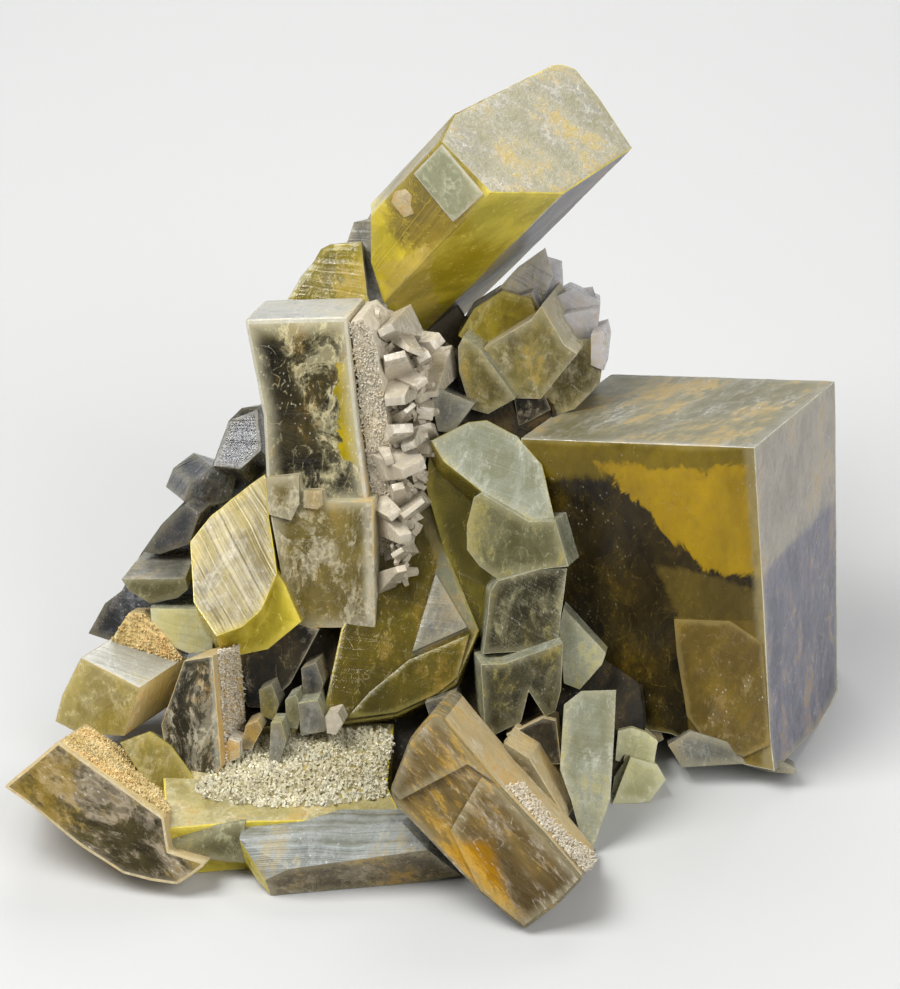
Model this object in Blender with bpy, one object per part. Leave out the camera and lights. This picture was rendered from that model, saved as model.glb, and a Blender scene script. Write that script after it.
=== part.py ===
import math

import bmesh
import bpy
from mathutils import Vector

# Barite crystal cluster: tabular and blocky crystals grown together on one broken root.
# Lengths are in millimetres here and become metres when the mesh is made.
MM = 0.001
CLUSTER_WIDTH = 109.6
PICTURE_WIDTH = 833.0
PIXELS_PER_MM = PICTURE_WIDTH / CLUSTER_WIDTH
PICTURE_CENTRE = (450.0, 494.5)
EYE_DISTANCE = 520.0
VIEW_ELEVATION = math.radians(30.0)
FLOOR_LEVEL = -31.8
WELD = 0.00002

# Each crystal: the outline of its seen face in picture pixels, the depth of the outline's
# first corner (mm, away from the viewer) and the run of its side edges (mm right, up, away).
# taper is the size of the far end against the seen face.
CRYSTALS = {
    "great_block": {
        "outline": ((755, 447), (764, 600), (771, 739), (775, 772), (742, 765), (702, 747),
                    (670, 735), (600, 722), (556, 640), (520, 438)),
        "near": -18.0,
        "run": (13.0, 9.3, 28.0),
        "trims": (((836, 380), (838, 690)), ((838, 690), (797, 777))),
    },
    "block_foot": {
        "outline": ((682, 768), (667, 745), (690, 730), (765, 752), (797, 768), (797, 775),
                    (768, 773), (742, 765)),
        "near": -4.0,
        "run": (0.5, 1.0, 18.0),
    },
    "pillar_upper": {
        "outline": ((348, 317), (356, 400), (362, 450), (369, 505), (266, 505), (262, 417),
                    (243, 320)),
        "near": -13.0,
        "run": (2.05, 3.3, 12.0),
    },
    "pillar_lower": {
        "outline": ((374, 500), (376, 629), (299, 629), (287, 613), (270, 520), (265, 478),
                    (300, 474), (303, 490), (324, 490), (326, 500)),
        "near": -8.4,
        "run": (2.05, 3.3, 12.0),
    },
    "pillar_back": {
        "outline": ((272, 302), (300, 298), (366, 297), (389, 500), (391, 600), (375, 628),
                    (310, 600), (285, 480)),
        "near": 0.5,
        "run": (2.05, 3.3, 9.0),
    },
    "crown": {
        "outline": ((491, 193), (440, 141), (454, 113), (552, 64), (562, 63), (576, 68),
                    (600, 97), (634, 148), (564, 194)),
        "near": -12.0,
        "run": (-28.5, -27.2, 32.0),
        "taper": 0.9,
        "trims": (((370, 198), (370, 268)), ((370, 262), (388, 319)), ((388, 317), (427, 339)),
                  ((425, 338), (502, 296))),
    },
    "rear_upper_left": {
        "outline": ((287, 330), (287, 299), (300, 276), (312, 262), (320, 248), (330, 243),
                    (362, 240), (368, 295), (385, 340)),
        "near": 2.0,
        "run": (1.5, -2.0, 12.0),
    },
    "rear_sliver": {
        "outline": ((345, 245), (353, 221), (367, 218), (373, 207), (373, 255), (358, 262)),
        "near": 6.0,
        "run": (1.0, -1.5, 10.0),
    },
    "rear_ridge": {
        "outline": ((482, 348), (530, 320), (541, 305), (565, 345), (578, 354), (541, 400),
                    (516, 399)),
        "near": 3.0,
        "run": (3.0, 4.0, 14.0),
    },
    "rear_table": {
        "outline": ((457, 347), (463, 335), (481, 349), (516, 399), (488, 415), (470, 410),
                    (458, 372)),
        "near": 1.5,
        "run": (2.0, 3.0, 14.0),
    },
    "rear_box_a": {
        "outline": ((530, 275), (547, 255), (561, 260), (564, 266), (561, 287), (545, 300)),
        "near": 13.0,
        "run": (-1.0, -1.0, 12.0),
    },
    "rear_box_b": {
        "outline": ((556, 322), (575, 316), (601, 309), (597, 332), (572, 362), (545, 345)),
        "near": 7.0,
        "run": (-0.6, 3.6, 12.0),
    },
    "rear_box_c": {
        "outline": ((549, 350), (575, 340), (607, 333), (602, 375), (601, 383), (593, 392),
                    (575, 410), (555, 417), (540, 400)),
        "near": 5.0,
        "run": (0.0, 1.0, 14.0),
    },
    "rear_dark": {
        "outline": ((512, 392), (541, 385), (552, 410), (530, 422), (518, 427)),
        "near": 4.0,
        "run": (1.0, 1.0, 12.0),
    },
    "rear_yellow": {
        "outline": ((460, 335), (500, 303), (525, 305), (540, 322), (482, 352)),
        "near": 8.0,
        "run": (0.0, 1.5, 12.0),
    },
    "small_wedge": {
        "outline": ((438, 387), (476, 403), (470, 411), (453, 434), (437, 432), (430, 400)),
        "near": -4.0,
        "run": (1.0, 1.0, 14.0),
    },
    "blade_mid": {
        "outline": ((529, 521), (556, 520), (569, 567), (535, 571), (497, 580), (479, 567),
                    (466, 550), (466, 525), (473, 497), (481, 492)),
        "near": -9.5,
        "run": (3.0, 2.0, 12.0),
    },
    "blade_top": {
        "outline": ((518, 513), (481, 492), (443, 462), (430, 440), (468, 421), (487, 419),
                    (518, 435), (543, 464), (556, 519), (530, 524)),
        "near": -8.0,
        "run": (-2.5, -5.0, 14.0),
    },
    "blade_body": {
        "outline": ((497, 580), (540, 568), (568, 568), (563, 607), (558, 650), (482, 655),
                    (487, 617), (489, 592)),
        "near": -9.0,
        "run": (-1.0, 1.5, 15.0),
    },
    "blade_left": {
        "outline": ((430, 440), (500, 480), (500, 600), (486, 648), (458, 600), (425, 487)),
        "near": -3.5,
        "run": (-0.5, 0.5, 16.0),
    },
    "ledge": {
        "outline": ((504, 663), (564, 642), (562, 690), (556, 712), (545, 718), (529, 693),
                    (522, 723), (491, 738), (484, 725), (480, 664)),
        "near": -11.5,
        "run": (-1.6, 2.6, 14.0),
    },
    "tooth": {
        "outline": ((563, 607), (607, 653), (603, 665), (580, 691), (563, 684), (558, 630)),
        "near": -6.0,
        "run": (1.0, 1.5, 12.0),
    },
    "slab": {
        "outline": ((563, 704), (581, 690), (617, 689), (611, 800), (597, 840), (590, 853),
                    (583, 850), (570, 800), (559, 770)),
        "near": -17.0,
        "run": (0.6, 0.4, 10.0),
        "taper": 0.9,
    },
    "rosette_a": {
        "outline": ((617, 730), (632, 727), (647, 732), (659, 741), (655, 764), (640, 790),
                    (611, 800)),
        "near": -5.0,
        "run": (0.3, 1.2, 10.0),
        "taper": 0.85,
    },
    "rosette_b": {
        "outline": ((630, 756), (658, 764), (667, 780), (651, 802), (624, 805), (611, 806)),
        "near": -7.0,
        "run": (-0.4, 1.4, 10.0),
        "taper": 0.85,
    },
    "rosette_c": {
        "outline": ((624, 700), (643, 705), (659, 722), (665, 740), (648, 750), (625, 735)),
        "near": 0.0,
        "run": (0.5, 0.5, 10.0),
    },
    "shield": {
        "outline": ((425, 487), (447, 551), (480, 630), (457, 684), (438, 698), (397, 717),
                    (341, 725), (328, 719), (324, 703), (340, 629), (382, 540)),
        "near": -1.0,
        "run": (1.2, -2.4, 13.0),
    },
    "front_block": {
        "outline": ((442, 716), (500, 785), (545, 833), (584, 879), (561, 903), (525, 931),
                    (518, 927), (477, 892), (411, 823), (393, 804), (389, 789), (409, 738),
                    (432, 712)),
        "near": -33.5,
        "run": (2.4, 2.2, 16.0),
    },
    "front_chip": {
        "outline": ((503, 741), (530, 758), (563, 812), (566, 822), (540, 800), (500, 766)),
        "near": -19.0,
        "run": (2.0, 2.0, 10.0),
    },
    "rim_strip": {
        "outline": ((543, 717), (557, 720), (562, 765), (551, 765), (520, 744), (505, 735)),
        "near": -12.0,
        "run": (0.6, 0.6, 10.0),
    },
    "blue_bit": {
        "outline": ((424, 702), (456, 692), (461, 712), (459, 722), (430, 722)),
        "near": -9.0,
        "run": (0.6, 1.4, 10.0),
    },
    "striated": {
        "outline": ((278, 573), (262, 610), (243, 627), (216, 637), (193, 602), (189, 541),
                    (210, 515), (245, 487), (266, 472), (270, 520)),
        "near": -7.0,
        "run": (0.8, -4.6, 10.0),
    },
    "glassy_rear": {
        "outline": ((258, 405), (264, 430), (268, 480), (262, 560), (225, 615), (185, 645),
                    (120, 645), (87, 634), (104, 603), (121, 590), (140, 553), (161, 523),
                    (183, 501), (191, 480), (212, 463), (228, 420), (241, 407)),
        "near": 3.0,
        "run": (3.0, 1.0, 14.0),
    },
    "small_a": {
        "outline": ((120, 579), (186, 578), (189, 590), (178, 599), (150, 605), (128, 592)),
        "near": -1.0,
        "run": (1.6, 4.2, 9.0),
        "taper": 0.8,
    },
    "small_b": {
        "outline": ((149, 607), (217, 608), (213, 652), (190, 655), (165, 645), (150, 625)),
        "near": -2.0,
        "run": (0.5, 1.0, 10.0),
    },
    "stain_patch": {
        "outline": ((110, 640), (128, 612), (142, 612), (165, 634), (184, 659), (150, 670)),
        "near": -1.5,
        "run": (0.5, 0.5, 8.0),
    },
    "cube": {
        "outline": ((140, 688), (125, 737), (81, 736), (54, 722), (61, 695), (80, 657)),
        "near": -10.0,
        "run": (5.66, 3.8, 9.8),
    },
    "post": {
        "outline": ((213, 655), (216, 690), (222, 766), (215, 777), (191, 781), (174, 765),
                    (162, 738), (160, 725), (183, 660)),
        "near": -15.0,
        "run": (3.0, 1.2, 10.0),
    },
    "dark_blade": {
        "outline": ((320, 629), (291, 684), (264, 709), (247, 708), (240, 690), (240, 655),
                    (297, 622)),
        "near": -4.0,
        "run": (0.5, 0.5, 12.0),
    },
    "prow": {
        "outline": ((165, 817), (170, 850), (208, 862), (203, 868), (190, 878), (177, 886),
                    (150, 882), (122, 875), (78, 846), (25, 803), (2, 787), (58, 740)),
        "near": -26.0,
        "run": (1.8, 7.0, 20.0),
    },
    "shelf_chip_a": {
        "outline": ((297, 703), (318, 700), (327, 722), (326, 732), (300, 737)),
        "near": -9.0,
        "run": (0.5, 1.5, 6.0),
    },
    "shelf_chip_b": {
        "outline": ((270, 722), (282, 722), (287, 740), (280, 764), (268, 763)),
        "near": -12.0,
        "run": (0.5, 1.0, 5.0),
    },
    "shelf_chip_c": {
        "outline": ((245, 725), (258, 720), (263, 730), (252, 750), (240, 750)),
        "near": -11.0,
        "run": (0.5, 1.0, 6.0),
    },
    "root_low": {
        "outline": ((300, 850), (175, 840), (110, 745), (120, 650), (262, 500), (330, 480),
                    (560, 540), (640, 560), (650, 735), (600, 800), (500, 850)),
        "near": -9.0,
        "run": (0.0, -10.0, 30.0),
        "taper": 0.85,
    },
    "root_high": {
        "outline": ((310, 330), (385, 300), (460, 345), (560, 400), (560, 620), (300, 620)),
        "near": 6.0,
        "run": (1.0, -2.0, 22.0),
        "taper": 0.8,
    },
    "root_neck": {
        "outline": ((395, 270), (450, 260), (500, 262), (480, 330), (540, 400), (400, 400),
                    (385, 320)),
        "near": 20.0,
        "run": (0.0, -3.0, 16.0),
        "taper": 0.9,
    },
}

# Shelf that carries the fine druse: its level top, and the keel in front of and below it.
SHELF_TOP = ((401, 812), (388, 785), (395, 722), (300, 720), (160, 740), (165, 829), (250, 822),
             (300, 821))
SHELF_NEAR = -20.5
SHELF_DROP = (0.0, -8.66, 5.0)
KEEL_POINTS = ((239, 839, -25.0), (300, 833, -25.2), (402, 822, -25.0), (428, 850, -26.5),
               (289, 869, -27.0), (265, 880, -25.5), (462, 876, -21.0), (425, 882, -21.2),
               (340, 881, -22.6), (300, 893, -23.4), (271, 896, -23.7), (256, 879, -23.0),
               (245, 862, -22.0), (250, 790, -12.0), (440, 790, -12.0))
KEEL_TAIL = ((169, 848, -23.0), (178, 856, -22.5), (209, 860, -22.0), (245, 864, -22.0),
             (165, 829, -22.5), (245, 822, -23.0), (200, 800, -14.0), (260, 800, -14.0))

# Blocky druse crystals on the pillar's flank: centre (px), depth, width and height (mm), turn.
FLANK_DRUSE = (
    (393, 343, -9.5, 4.6, 4.4, 20.0),
    (411, 350, -7.5, 4.0, 3.2, -25.0),
    (417, 374, -8.0, 3.4, 3.6, 30.0),
    (396, 368, -8.0, 4.4, 4.6, 10.0),
    (404, 407, -7.5, 3.4, 3.4, 40.0),
    (402, 428, -7.0, 3.6, 3.0, 15.0),
    (404, 461, -7.0, 4.8, 7.2, 12.0),
    (409, 505, -6.0, 4.4, 5.0, 35.0),
    (394, 540, -5.0, 3.0, 5.0, 8.0),
    (422, 410, -3.5, 4.0, 6.6, -8.0),
    (430, 388, -2.5, 3.6, 5.4, 18.0),
    (423, 355, -3.0, 5.0, 5.4, 40.0),
)
DRUSE_RUN = (-1.6, 0.6, 8.0)


def clear_scene():
    for item in list(bpy.data.objects):
        bpy.data.objects.remove(item, do_unlink=True)


def on_sight_line(px, py, depth):
    spread = (EYE_DISTANCE + depth) / EYE_DISTANCE / PIXELS_PER_MM
    right = (px - PICTURE_CENTRE[0]) * spread
    up = (PICTURE_CENTRE[1] - py) * spread
    return Vector((right, up, depth))


def on_face(px, py, origin, run):
    eye = Vector((0.0, 0.0, -EYE_DISTANCE))
    sight = on_sight_line(px, py, 0.0) - eye
    along = (origin - eye).dot(run) / sight.dot(run)
    return eye + sight * along


def to_world(point):
    rise = math.sin(VIEW_ELEVATION)
    level = math.cos(VIEW_ELEVATION)
    y = point.y * rise + point.z * level
    z = point.y * level - point.z * rise
    return Vector((point.x, y, z - FLOOR_LEVEL)) * MM


def new_object(name, mesh_data):
    bmesh.ops.recalc_face_normals(mesh_data, faces=mesh_data.faces[:])
    mesh = bpy.data.meshes.new(name)
    mesh_data.to_mesh(mesh)
    mesh_data.free()
    made = bpy.data.objects.new(name, mesh)
    bpy.context.scene.collection.objects.link(made)
    return made


def prism(name, near_ring, far_ring):
    data = bmesh.new()
    front = [data.verts.new(to_world(point)) for point in near_ring]
    back = [data.verts.new(to_world(point)) for point in far_ring]
    data.faces.new(front)
    data.faces.new(back[::-1])
    count = len(front)
    for i in range(count):
        j = (i + 1) % count
        data.faces.new((front[j], front[i], back[i], back[j]))
    return new_object(name, data)


def trim(data, first, second, inside):
    eye = to_world(Vector((0.0, 0.0, -EYE_DISTANCE)))
    near = to_world(on_sight_line(*first, 0.0))
    far = to_world(on_sight_line(*second, 0.0))
    normal = (near - eye).cross(far - eye).normalized()
    if normal.dot(inside - eye) > 0.0:
        normal = -normal
    parts = data.verts[:] + data.edges[:] + data.faces[:]
    cut = bmesh.ops.bisect_plane(data, geom=parts, plane_co=eye, plane_no=normal, clear_outer=True)
    rim = [item for item in cut["geom_cut"] if isinstance(item, bmesh.types.BMEdge)]
    if rim:
        bmesh.ops.contextual_create(data, geom=rim)


def trim_to_outline(target, trims):
    middle = sum((vert.co for vert in target.data.vertices), Vector())
    middle = middle / len(target.data.vertices)
    data = bmesh.new()
    data.from_mesh(target.data)
    for first, second in trims:
        trim(data, first, second, middle)
    bmesh.ops.recalc_face_normals(data, faces=data.faces[:])
    data.to_mesh(target.data)
    data.free()


def crystal(name, outline, near, run, taper=1.0, trims=()):
    run = Vector(run)
    origin = on_sight_line(outline[0][0], outline[0][1], near)
    ring = [on_face(px, py, origin, run) for px, py in outline]
    middle = sum(ring, Vector()) / len(ring)
    far = [middle + (point - middle) * taper + run for point in ring]
    made = prism(name, ring, far)
    trim_to_outline(made, trims)
    return made


def hull(name, points):
    data = bmesh.new()
    for px, py, depth in points:
        data.verts.new(to_world(on_sight_line(px, py, depth)))
    result = bmesh.ops.convex_hull(data, input=data.verts[:])
    loose = [item for item in result["geom_interior"] if isinstance(item, bmesh.types.BMVert)]
    bmesh.ops.delete(data, geom=loose, context="VERTS")
    return new_object(name, data)


def druse_box(name, px, py, depth, width, height, turn):
    middle = on_sight_line(px, py, depth)
    run = Vector(DRUSE_RUN)
    across = Vector((math.cos(math.radians(turn)), math.sin(math.radians(turn)), 0.25))
    across = (across - run * across.dot(run) / run.length_squared).normalized()
    upward = run.cross(across).normalized()
    if upward.y < 0.0:
        upward = -upward
    ring = []
    for side, rise in ((-0.5, -0.5), (0.5, -0.5), (0.5, 0.5), (-0.5, 0.5)):
        ring.append(middle + across * (side * width) + upward * (rise * height))
    far = [point + run for point in ring]
    return prism(name, ring, far)


def combine(target, other, operation):
    change = target.modifiers.new("join", "BOOLEAN")
    change.operation = operation
    change.solver = "EXACT"
    change.object = other
    graph = bpy.context.evaluated_depsgraph_get()
    mesh = bpy.data.meshes.new_from_object(target.evaluated_get(graph))
    target.modifiers.remove(change)
    target.data = mesh
    bpy.data.objects.remove(other, do_unlink=True)


def below_floor():
    data = bmesh.new()
    bmesh.ops.create_cube(data, size=0.4)
    bmesh.ops.translate(data, verts=data.verts[:], vec=(0.0, 0.0, -0.2))
    return new_object("below_floor", data)


def connected(vert, seen):
    found = [vert]
    seen.add(vert)
    for item in found:
        for edge in item.link_edges:
            other = edge.other_vert(item)
            if other not in seen:
                seen.add(other)
                found.append(other)
    return found


def keep_outer_skin(data):
    seen = set()
    groups = [connected(vert, seen) for vert in data.verts if vert not in seen]
    groups.sort(key=len)
    for group in groups[:-1]:
        bmesh.ops.delete(data, geom=group, context="VERTS")


def tidy_surface(target):
    data = bmesh.new()
    data.from_mesh(target.data)
    keep_outer_skin(data)
    bmesh.ops.remove_doubles(data, verts=data.verts[:], dist=WELD)
    bmesh.ops.dissolve_degenerate(data, edges=data.edges[:], dist=WELD)
    bmesh.ops.triangulate(data, faces=data.faces[:])
    data.to_mesh(target.data)
    data.free()


def centre_on_base(target):
    xs = [vert.co.x for vert in target.data.vertices]
    ys = [vert.co.y for vert in target.data.vertices]
    shift = Vector(((max(xs) + min(xs)) / 2, (max(ys) + min(ys)) / 2, 0.0))
    for vert in target.data.vertices:
        vert.co -= shift


def stone_material():
    material = bpy.data.materials.new("barite")
    material.use_nodes = True
    shader = material.node_tree.nodes["Principled BSDF"]
    shader.inputs["Base Color"].default_value = (0.52, 0.42, 0.16, 1.0)
    shader.inputs["Roughness"].default_value = 0.3
    return material


def all_crystals():
    made = [crystal(name, **values) for name, values in CRYSTALS.items()]
    made.append(crystal("shelf", SHELF_TOP, SHELF_NEAR, SHELF_DROP))
    made.append(hull("keel", KEEL_POINTS))
    made.append(hull("keel_tail", KEEL_TAIL))
    for count, values in enumerate(FLANK_DRUSE):
        made.append(druse_box(f"flank_{count}", *values))
    return made


def build():
    clear_scene()
    pieces = all_crystals()
    cluster = pieces[0]
    for piece in pieces[1:]:
        combine(cluster, piece, "UNION")
    combine(cluster, below_floor(), "DIFFERENCE")
    tidy_surface(cluster)
    centre_on_base(cluster)
    cluster.name = "barite_cluster"
    cluster.data.name = "barite_cluster"
    cluster.data.materials.clear()
    cluster.data.materials.append(stone_material())


build()
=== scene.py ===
import math

import bmesh
import bpy
import numpy as np
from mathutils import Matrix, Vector, noise


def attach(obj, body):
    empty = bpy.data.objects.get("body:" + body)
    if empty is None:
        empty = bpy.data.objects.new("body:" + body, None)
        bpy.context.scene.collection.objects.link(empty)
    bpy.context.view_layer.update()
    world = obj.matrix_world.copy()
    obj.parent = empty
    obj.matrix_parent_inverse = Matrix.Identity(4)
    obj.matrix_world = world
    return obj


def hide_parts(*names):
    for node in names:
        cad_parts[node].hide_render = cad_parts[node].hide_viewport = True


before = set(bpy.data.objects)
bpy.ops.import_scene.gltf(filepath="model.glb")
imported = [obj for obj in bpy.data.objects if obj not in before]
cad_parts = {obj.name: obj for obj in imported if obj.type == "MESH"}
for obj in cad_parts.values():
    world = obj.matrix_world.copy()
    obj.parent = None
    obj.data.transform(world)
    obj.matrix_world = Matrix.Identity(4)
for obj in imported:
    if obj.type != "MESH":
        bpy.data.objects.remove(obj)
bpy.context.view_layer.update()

# Where the photograph is taken from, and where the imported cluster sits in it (mm, degrees, pixels)
view = {
    "pixelsPerMm": 833.0 / 109.6,
    "centreX": 450.0,
    "centreY": 494.5,
    "pictureHeight": 989.0,
    "eyeDistance": 520.0,
    "elevation": 30.0,
    "floorLevel": -31.8,
    "shiftRight": -1.418,
    "shiftAway": -0.234,
}
rise = math.sin(math.radians(view["elevation"]))
level = math.cos(math.radians(view["elevation"]))


def onSightLine(px, py, depth):
    spread = (view["eyeDistance"] + depth) / view["eyeDistance"] / view["pixelsPerMm"]
    return Vector(((px - view["centreX"]) * spread, (view["centreY"] - py) * spread, depth))


def onFace(px, py, origin, run):
    eye = Vector((0.0, 0.0, -view["eyeDistance"]))
    sight = onSightLine(px, py, 0.0) - eye
    return eye + sight * ((origin - eye).dot(run) / sight.dot(run))


def toWorld(point):
    away = point.y * rise + point.z * level
    up = point.y * level - point.z * rise - view["floorLevel"]
    return Vector((point.x - view["shiftRight"], away - view["shiftAway"], up)) * 0.001


def turnToWorld(direction):
    return Vector((direction[0], direction[1] * rise + direction[2] * level,
                   direction[1] * level - direction[2] * rise)).normalized()


# Node helpers: each returns the socket that the next one reads


def socketInto(tree, value, socket):
    if isinstance(value, bpy.types.NodeSocket):
        tree.links.new(value, socket)
    elif isinstance(value, (tuple, list)) and len(value) == 3 and socket.type == "RGBA":
        socket.default_value = (*value, 1.0)
    else:
        socket.default_value = value


def maths(tree, operation, first, second=0.0):
    node = tree.nodes.new("ShaderNodeMath")
    node.operation = operation
    socketInto(tree, first, node.inputs[0])
    socketInto(tree, second, node.inputs[1])
    return node.outputs[0]


def times(tree, first, second):
    return maths(tree, "MULTIPLY", first, second)


def plus(tree, first, second):
    return maths(tree, "ADD", first, second)


def minus(tree, first, second):
    return maths(tree, "SUBTRACT", first, second)


def ramp(tree, value, low, high):
    node = tree.nodes.new("ShaderNodeMapRange")
    node.interpolation_type = "SMOOTHSTEP"
    socketInto(tree, value, node.inputs["Value"])
    node.inputs["From Min"].default_value = low
    node.inputs["From Max"].default_value = high
    return node.outputs["Result"]


def mixColour(tree, factor, first, second):
    node = tree.nodes.new("ShaderNodeMix")
    node.data_type = "RGBA"
    socketInto(tree, factor, node.inputs[0])
    socketInto(tree, first, node.inputs[6])
    socketInto(tree, second, node.inputs[7])
    return node.outputs[2]


def mixValue(tree, factor, first, second):
    node = tree.nodes.new("ShaderNodeMix")
    socketInto(tree, factor, node.inputs[0])
    socketInto(tree, first, node.inputs[2])
    socketInto(tree, second, node.inputs[3])
    return node.outputs[0]


def scaled(tree, point, factors):
    node = tree.nodes.new("ShaderNodeVectorMath")
    node.operation = "MULTIPLY"
    socketInto(tree, point, node.inputs[0])
    node.inputs[1].default_value = factors
    return node.outputs[0]


def along(tree, point, direction):
    node = tree.nodes.new("ShaderNodeVectorMath")
    node.operation = "DOT_PRODUCT"
    socketInto(tree, point, node.inputs[0])
    node.inputs[1].default_value = direction
    return node.outputs["Value"]


def cloud(tree, point, scale, detail=5.0, roughness=0.6, distortion=0.0):
    node = tree.nodes.new("ShaderNodeTexNoise")
    socketInto(tree, point, node.inputs["Vector"])
    node.inputs["Scale"].default_value = scale
    node.inputs["Detail"].default_value = detail
    node.inputs["Roughness"].default_value = roughness
    node.inputs["Distortion"].default_value = distortion
    return node.outputs[0]


def lines(tree, distance, scale, detail=4.0):
    node = tree.nodes.new("ShaderNodeTexNoise")
    node.noise_dimensions = "1D"
    socketInto(tree, distance, node.inputs["W"])
    node.inputs["Scale"].default_value = scale
    node.inputs["Detail"].default_value = detail
    node.inputs["Roughness"].default_value = 0.7
    return node.outputs[0]


def cells(tree, point, scale, output="Distance"):
    node = tree.nodes.new("ShaderNodeTexVoronoi")
    socketInto(tree, point, node.inputs["Vector"])
    node.inputs["Scale"].default_value = scale
    return node.outputs[output]


def relief(tree, height, strength, distance):
    node = tree.nodes.new("ShaderNodeBump")
    socketInto(tree, height, node.inputs["Height"])
    node.inputs["Strength"].default_value = strength
    node.inputs["Distance"].default_value = distance
    return node.outputs[0]


# What every crystal skin starts from; each skin's own dictionary changes only what differs.
# clear and deep are the body's two tones, veil its milky clouds, see how much light passes where nothing covers it,
# rimWidth (mm) and rimTint the milky band inside each edge, zones areas of another colour, windows areas without veil
plainSkin = {
    "clear": (0.28, 0.20, 0.03),
    "deep": (0.12, 0.08, 0.012),
    "veil": (0.42, 0.36, 0.22),
    "veilFrom": 0.44,
    "veilTo": 0.70,
    "veilScale": 0.16,
    "veilMost": 0.75,
    "wisp": 0.5,
    "cleave": 0.5,
    "cleaveScale": 0.28,
    "shine": 0.25,
    "grainRun": turnToWorld((0.2, 1.0, 0.2)),
    "stretch": 0.6,
    "rimTint": (0.40, 0.36, 0.22),
    "rimWidth": 1.5,
    "rimMost": 0.4,
    "stain": (0.50, 0.26, 0.03),
    "stainFrom": 0.52,
    "stainTo": 0.70,
    "stainMost": 0.5,
    "fleck": (0.72, 0.69, 0.60),
    "fleckMost": 0.5,
    "see": 0.5,
    "roughClear": 0.08,
    "roughVeil": 0.45,
    "lineRun": (0.2, 1.0, 0.1),
    "lineScale": 1.2,
    "lineHeight": 0.3,
    "lineTone": 0.12,
    "pitHeight": 0.3,
    "absorb": (0.94, 0.84, 0.40),
    "density": 60.0,
    "zones": (),
    "windows": (),
    "seed": 0.0,
}
skins = {}


def zoneMask(tree, point, zone, wobble):
    mask = None
    for normal, offset in zone["planes"]:
        distance = plus(tree, along(tree, point, normal), offset)
        distance = plus(tree, distance, times(tree, wobble, zone["wobble"]))
        part = ramp(tree, distance, -zone["soft"], zone["soft"])
        mask = part if mask is None else times(tree, mask, part)
    return mask


# Patterns that every skin shares: scales (per mm), shares of another scale, widths and weights
weave = {
    "fineScale": 1.1,
    "speckScale": 1.5,
    "wrinkleScale": 0.55,
    "secondShare": 0.7,
    "wispShare": 1.6,
    "splinterShare": 2.7,
    "lineWarp": 1.5,
    "darkZone": 0.62,
    "rimWobble": 2.4,
    "veilGrain": 0.30,
    "stainGrain": 0.6,
    "wispWidth": 0.035,
    "wrinkleWidth": 0.09,
    "veilLight": 1.15,
    "veilDark": 0.55,
    "roughGrain": 0.15,
    "bumpDepth": 0.0002,
    "refraction": 1.636,
}


def skinPatterns(tree, point, look):
    shift = tree.nodes.new("ShaderNodeVectorMath")
    tree.links.new(point, shift.inputs[0])
    shift.inputs[1].default_value = (look["seed"], look["seed"] * 1.7, -look["seed"])
    lengthwise = scaled(tree, times(tree, along(tree, point, look["grainRun"]), look["stretch"] - 1.0),
                        look["grainRun"])
    stretched = tree.nodes.new("ShaderNodeVectorMath")
    tree.links.new(shift.outputs[0], stretched.inputs[0])
    tree.links.new(lengthwise, stretched.inputs[1])
    moved = stretched.outputs[0]
    secondScale = look["veilScale"] * weave["secondShare"]
    broad = cloud(tree, moved, look["veilScale"], 5.0, 0.75, 0.6)
    fine = cloud(tree, moved, weave["fineScale"], 4.0, 0.8)
    sway = times(tree, cloud(tree, moved, secondScale, 1.0), weave["lineWarp"])
    return {
        "moved": moved,
        "broad": broad,
        "second": cloud(tree, scaled(tree, moved, (1.0, 1.3, 0.8)), secondScale, 4.0, 0.65),
        "fine": fine,
        "wobble": minus(tree, broad, 0.5),
        "grain": minus(tree, fine, 0.5),
        "growth": lines(tree, plus(tree, along(tree, point, look["lineRun"]), sway), look["lineScale"], 3.0),
    }


def crystalColour(tree, point, look, made):
    # body colour with growth lines and cleavage, then its zones and its milky rim; also how clear it is
    lineTone = times(tree, minus(tree, made["growth"], 0.5), look["lineTone"] * 4.0)
    tone = plus(tree, ramp(tree, made["second"], 0.34, 0.66), lineTone)
    if look["cleave"] > 0.0:
        shard = cells(tree, scaled(tree, made["moved"], (1.0, 0.7, 1.3)), look["cleaveScale"], "Color")
        splinter = cells(tree, made["moved"], look["cleaveScale"] * weave["splinterShare"], "Color")
        shade = plus(tree, minus(tree, shard, 0.5), times(tree, minus(tree, splinter, 0.5), 0.6))
        tone = plus(tree, tone, times(tree, shade, look["cleave"]))
    colour = mixColour(tree, tone, look["deep"], look["clear"])
    see = look["see"]
    for zone in look["zones"]:
        mask = times(tree, zoneMask(tree, point, zone, made["wobble"]), zone["most"])
        dark = tuple(part * weave["darkZone"] for part in zone["colour"])
        colour = mixColour(tree, mask, colour, mixColour(tree, tone, dark, zone["colour"]))
        see = mixValue(tree, mask, see, zone["see"])
    if look["rimMost"] > 0.0:
        inward = tree.nodes.new("ShaderNodeAttribute")
        inward.attribute_name = "inward"
        reach = plus(tree, inward.outputs["Fac"], times(tree, made["wobble"], weave["rimWobble"]))
        rimMask = times(tree, minus(tree, 1.0, ramp(tree, reach, 0.1, look["rimWidth"])), look["rimMost"])
        colour = mixColour(tree, rimMask, colour, look["rimTint"])
        see = times(tree, minus(tree, 1.0, rimMask), see)
    return colour, see


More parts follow.
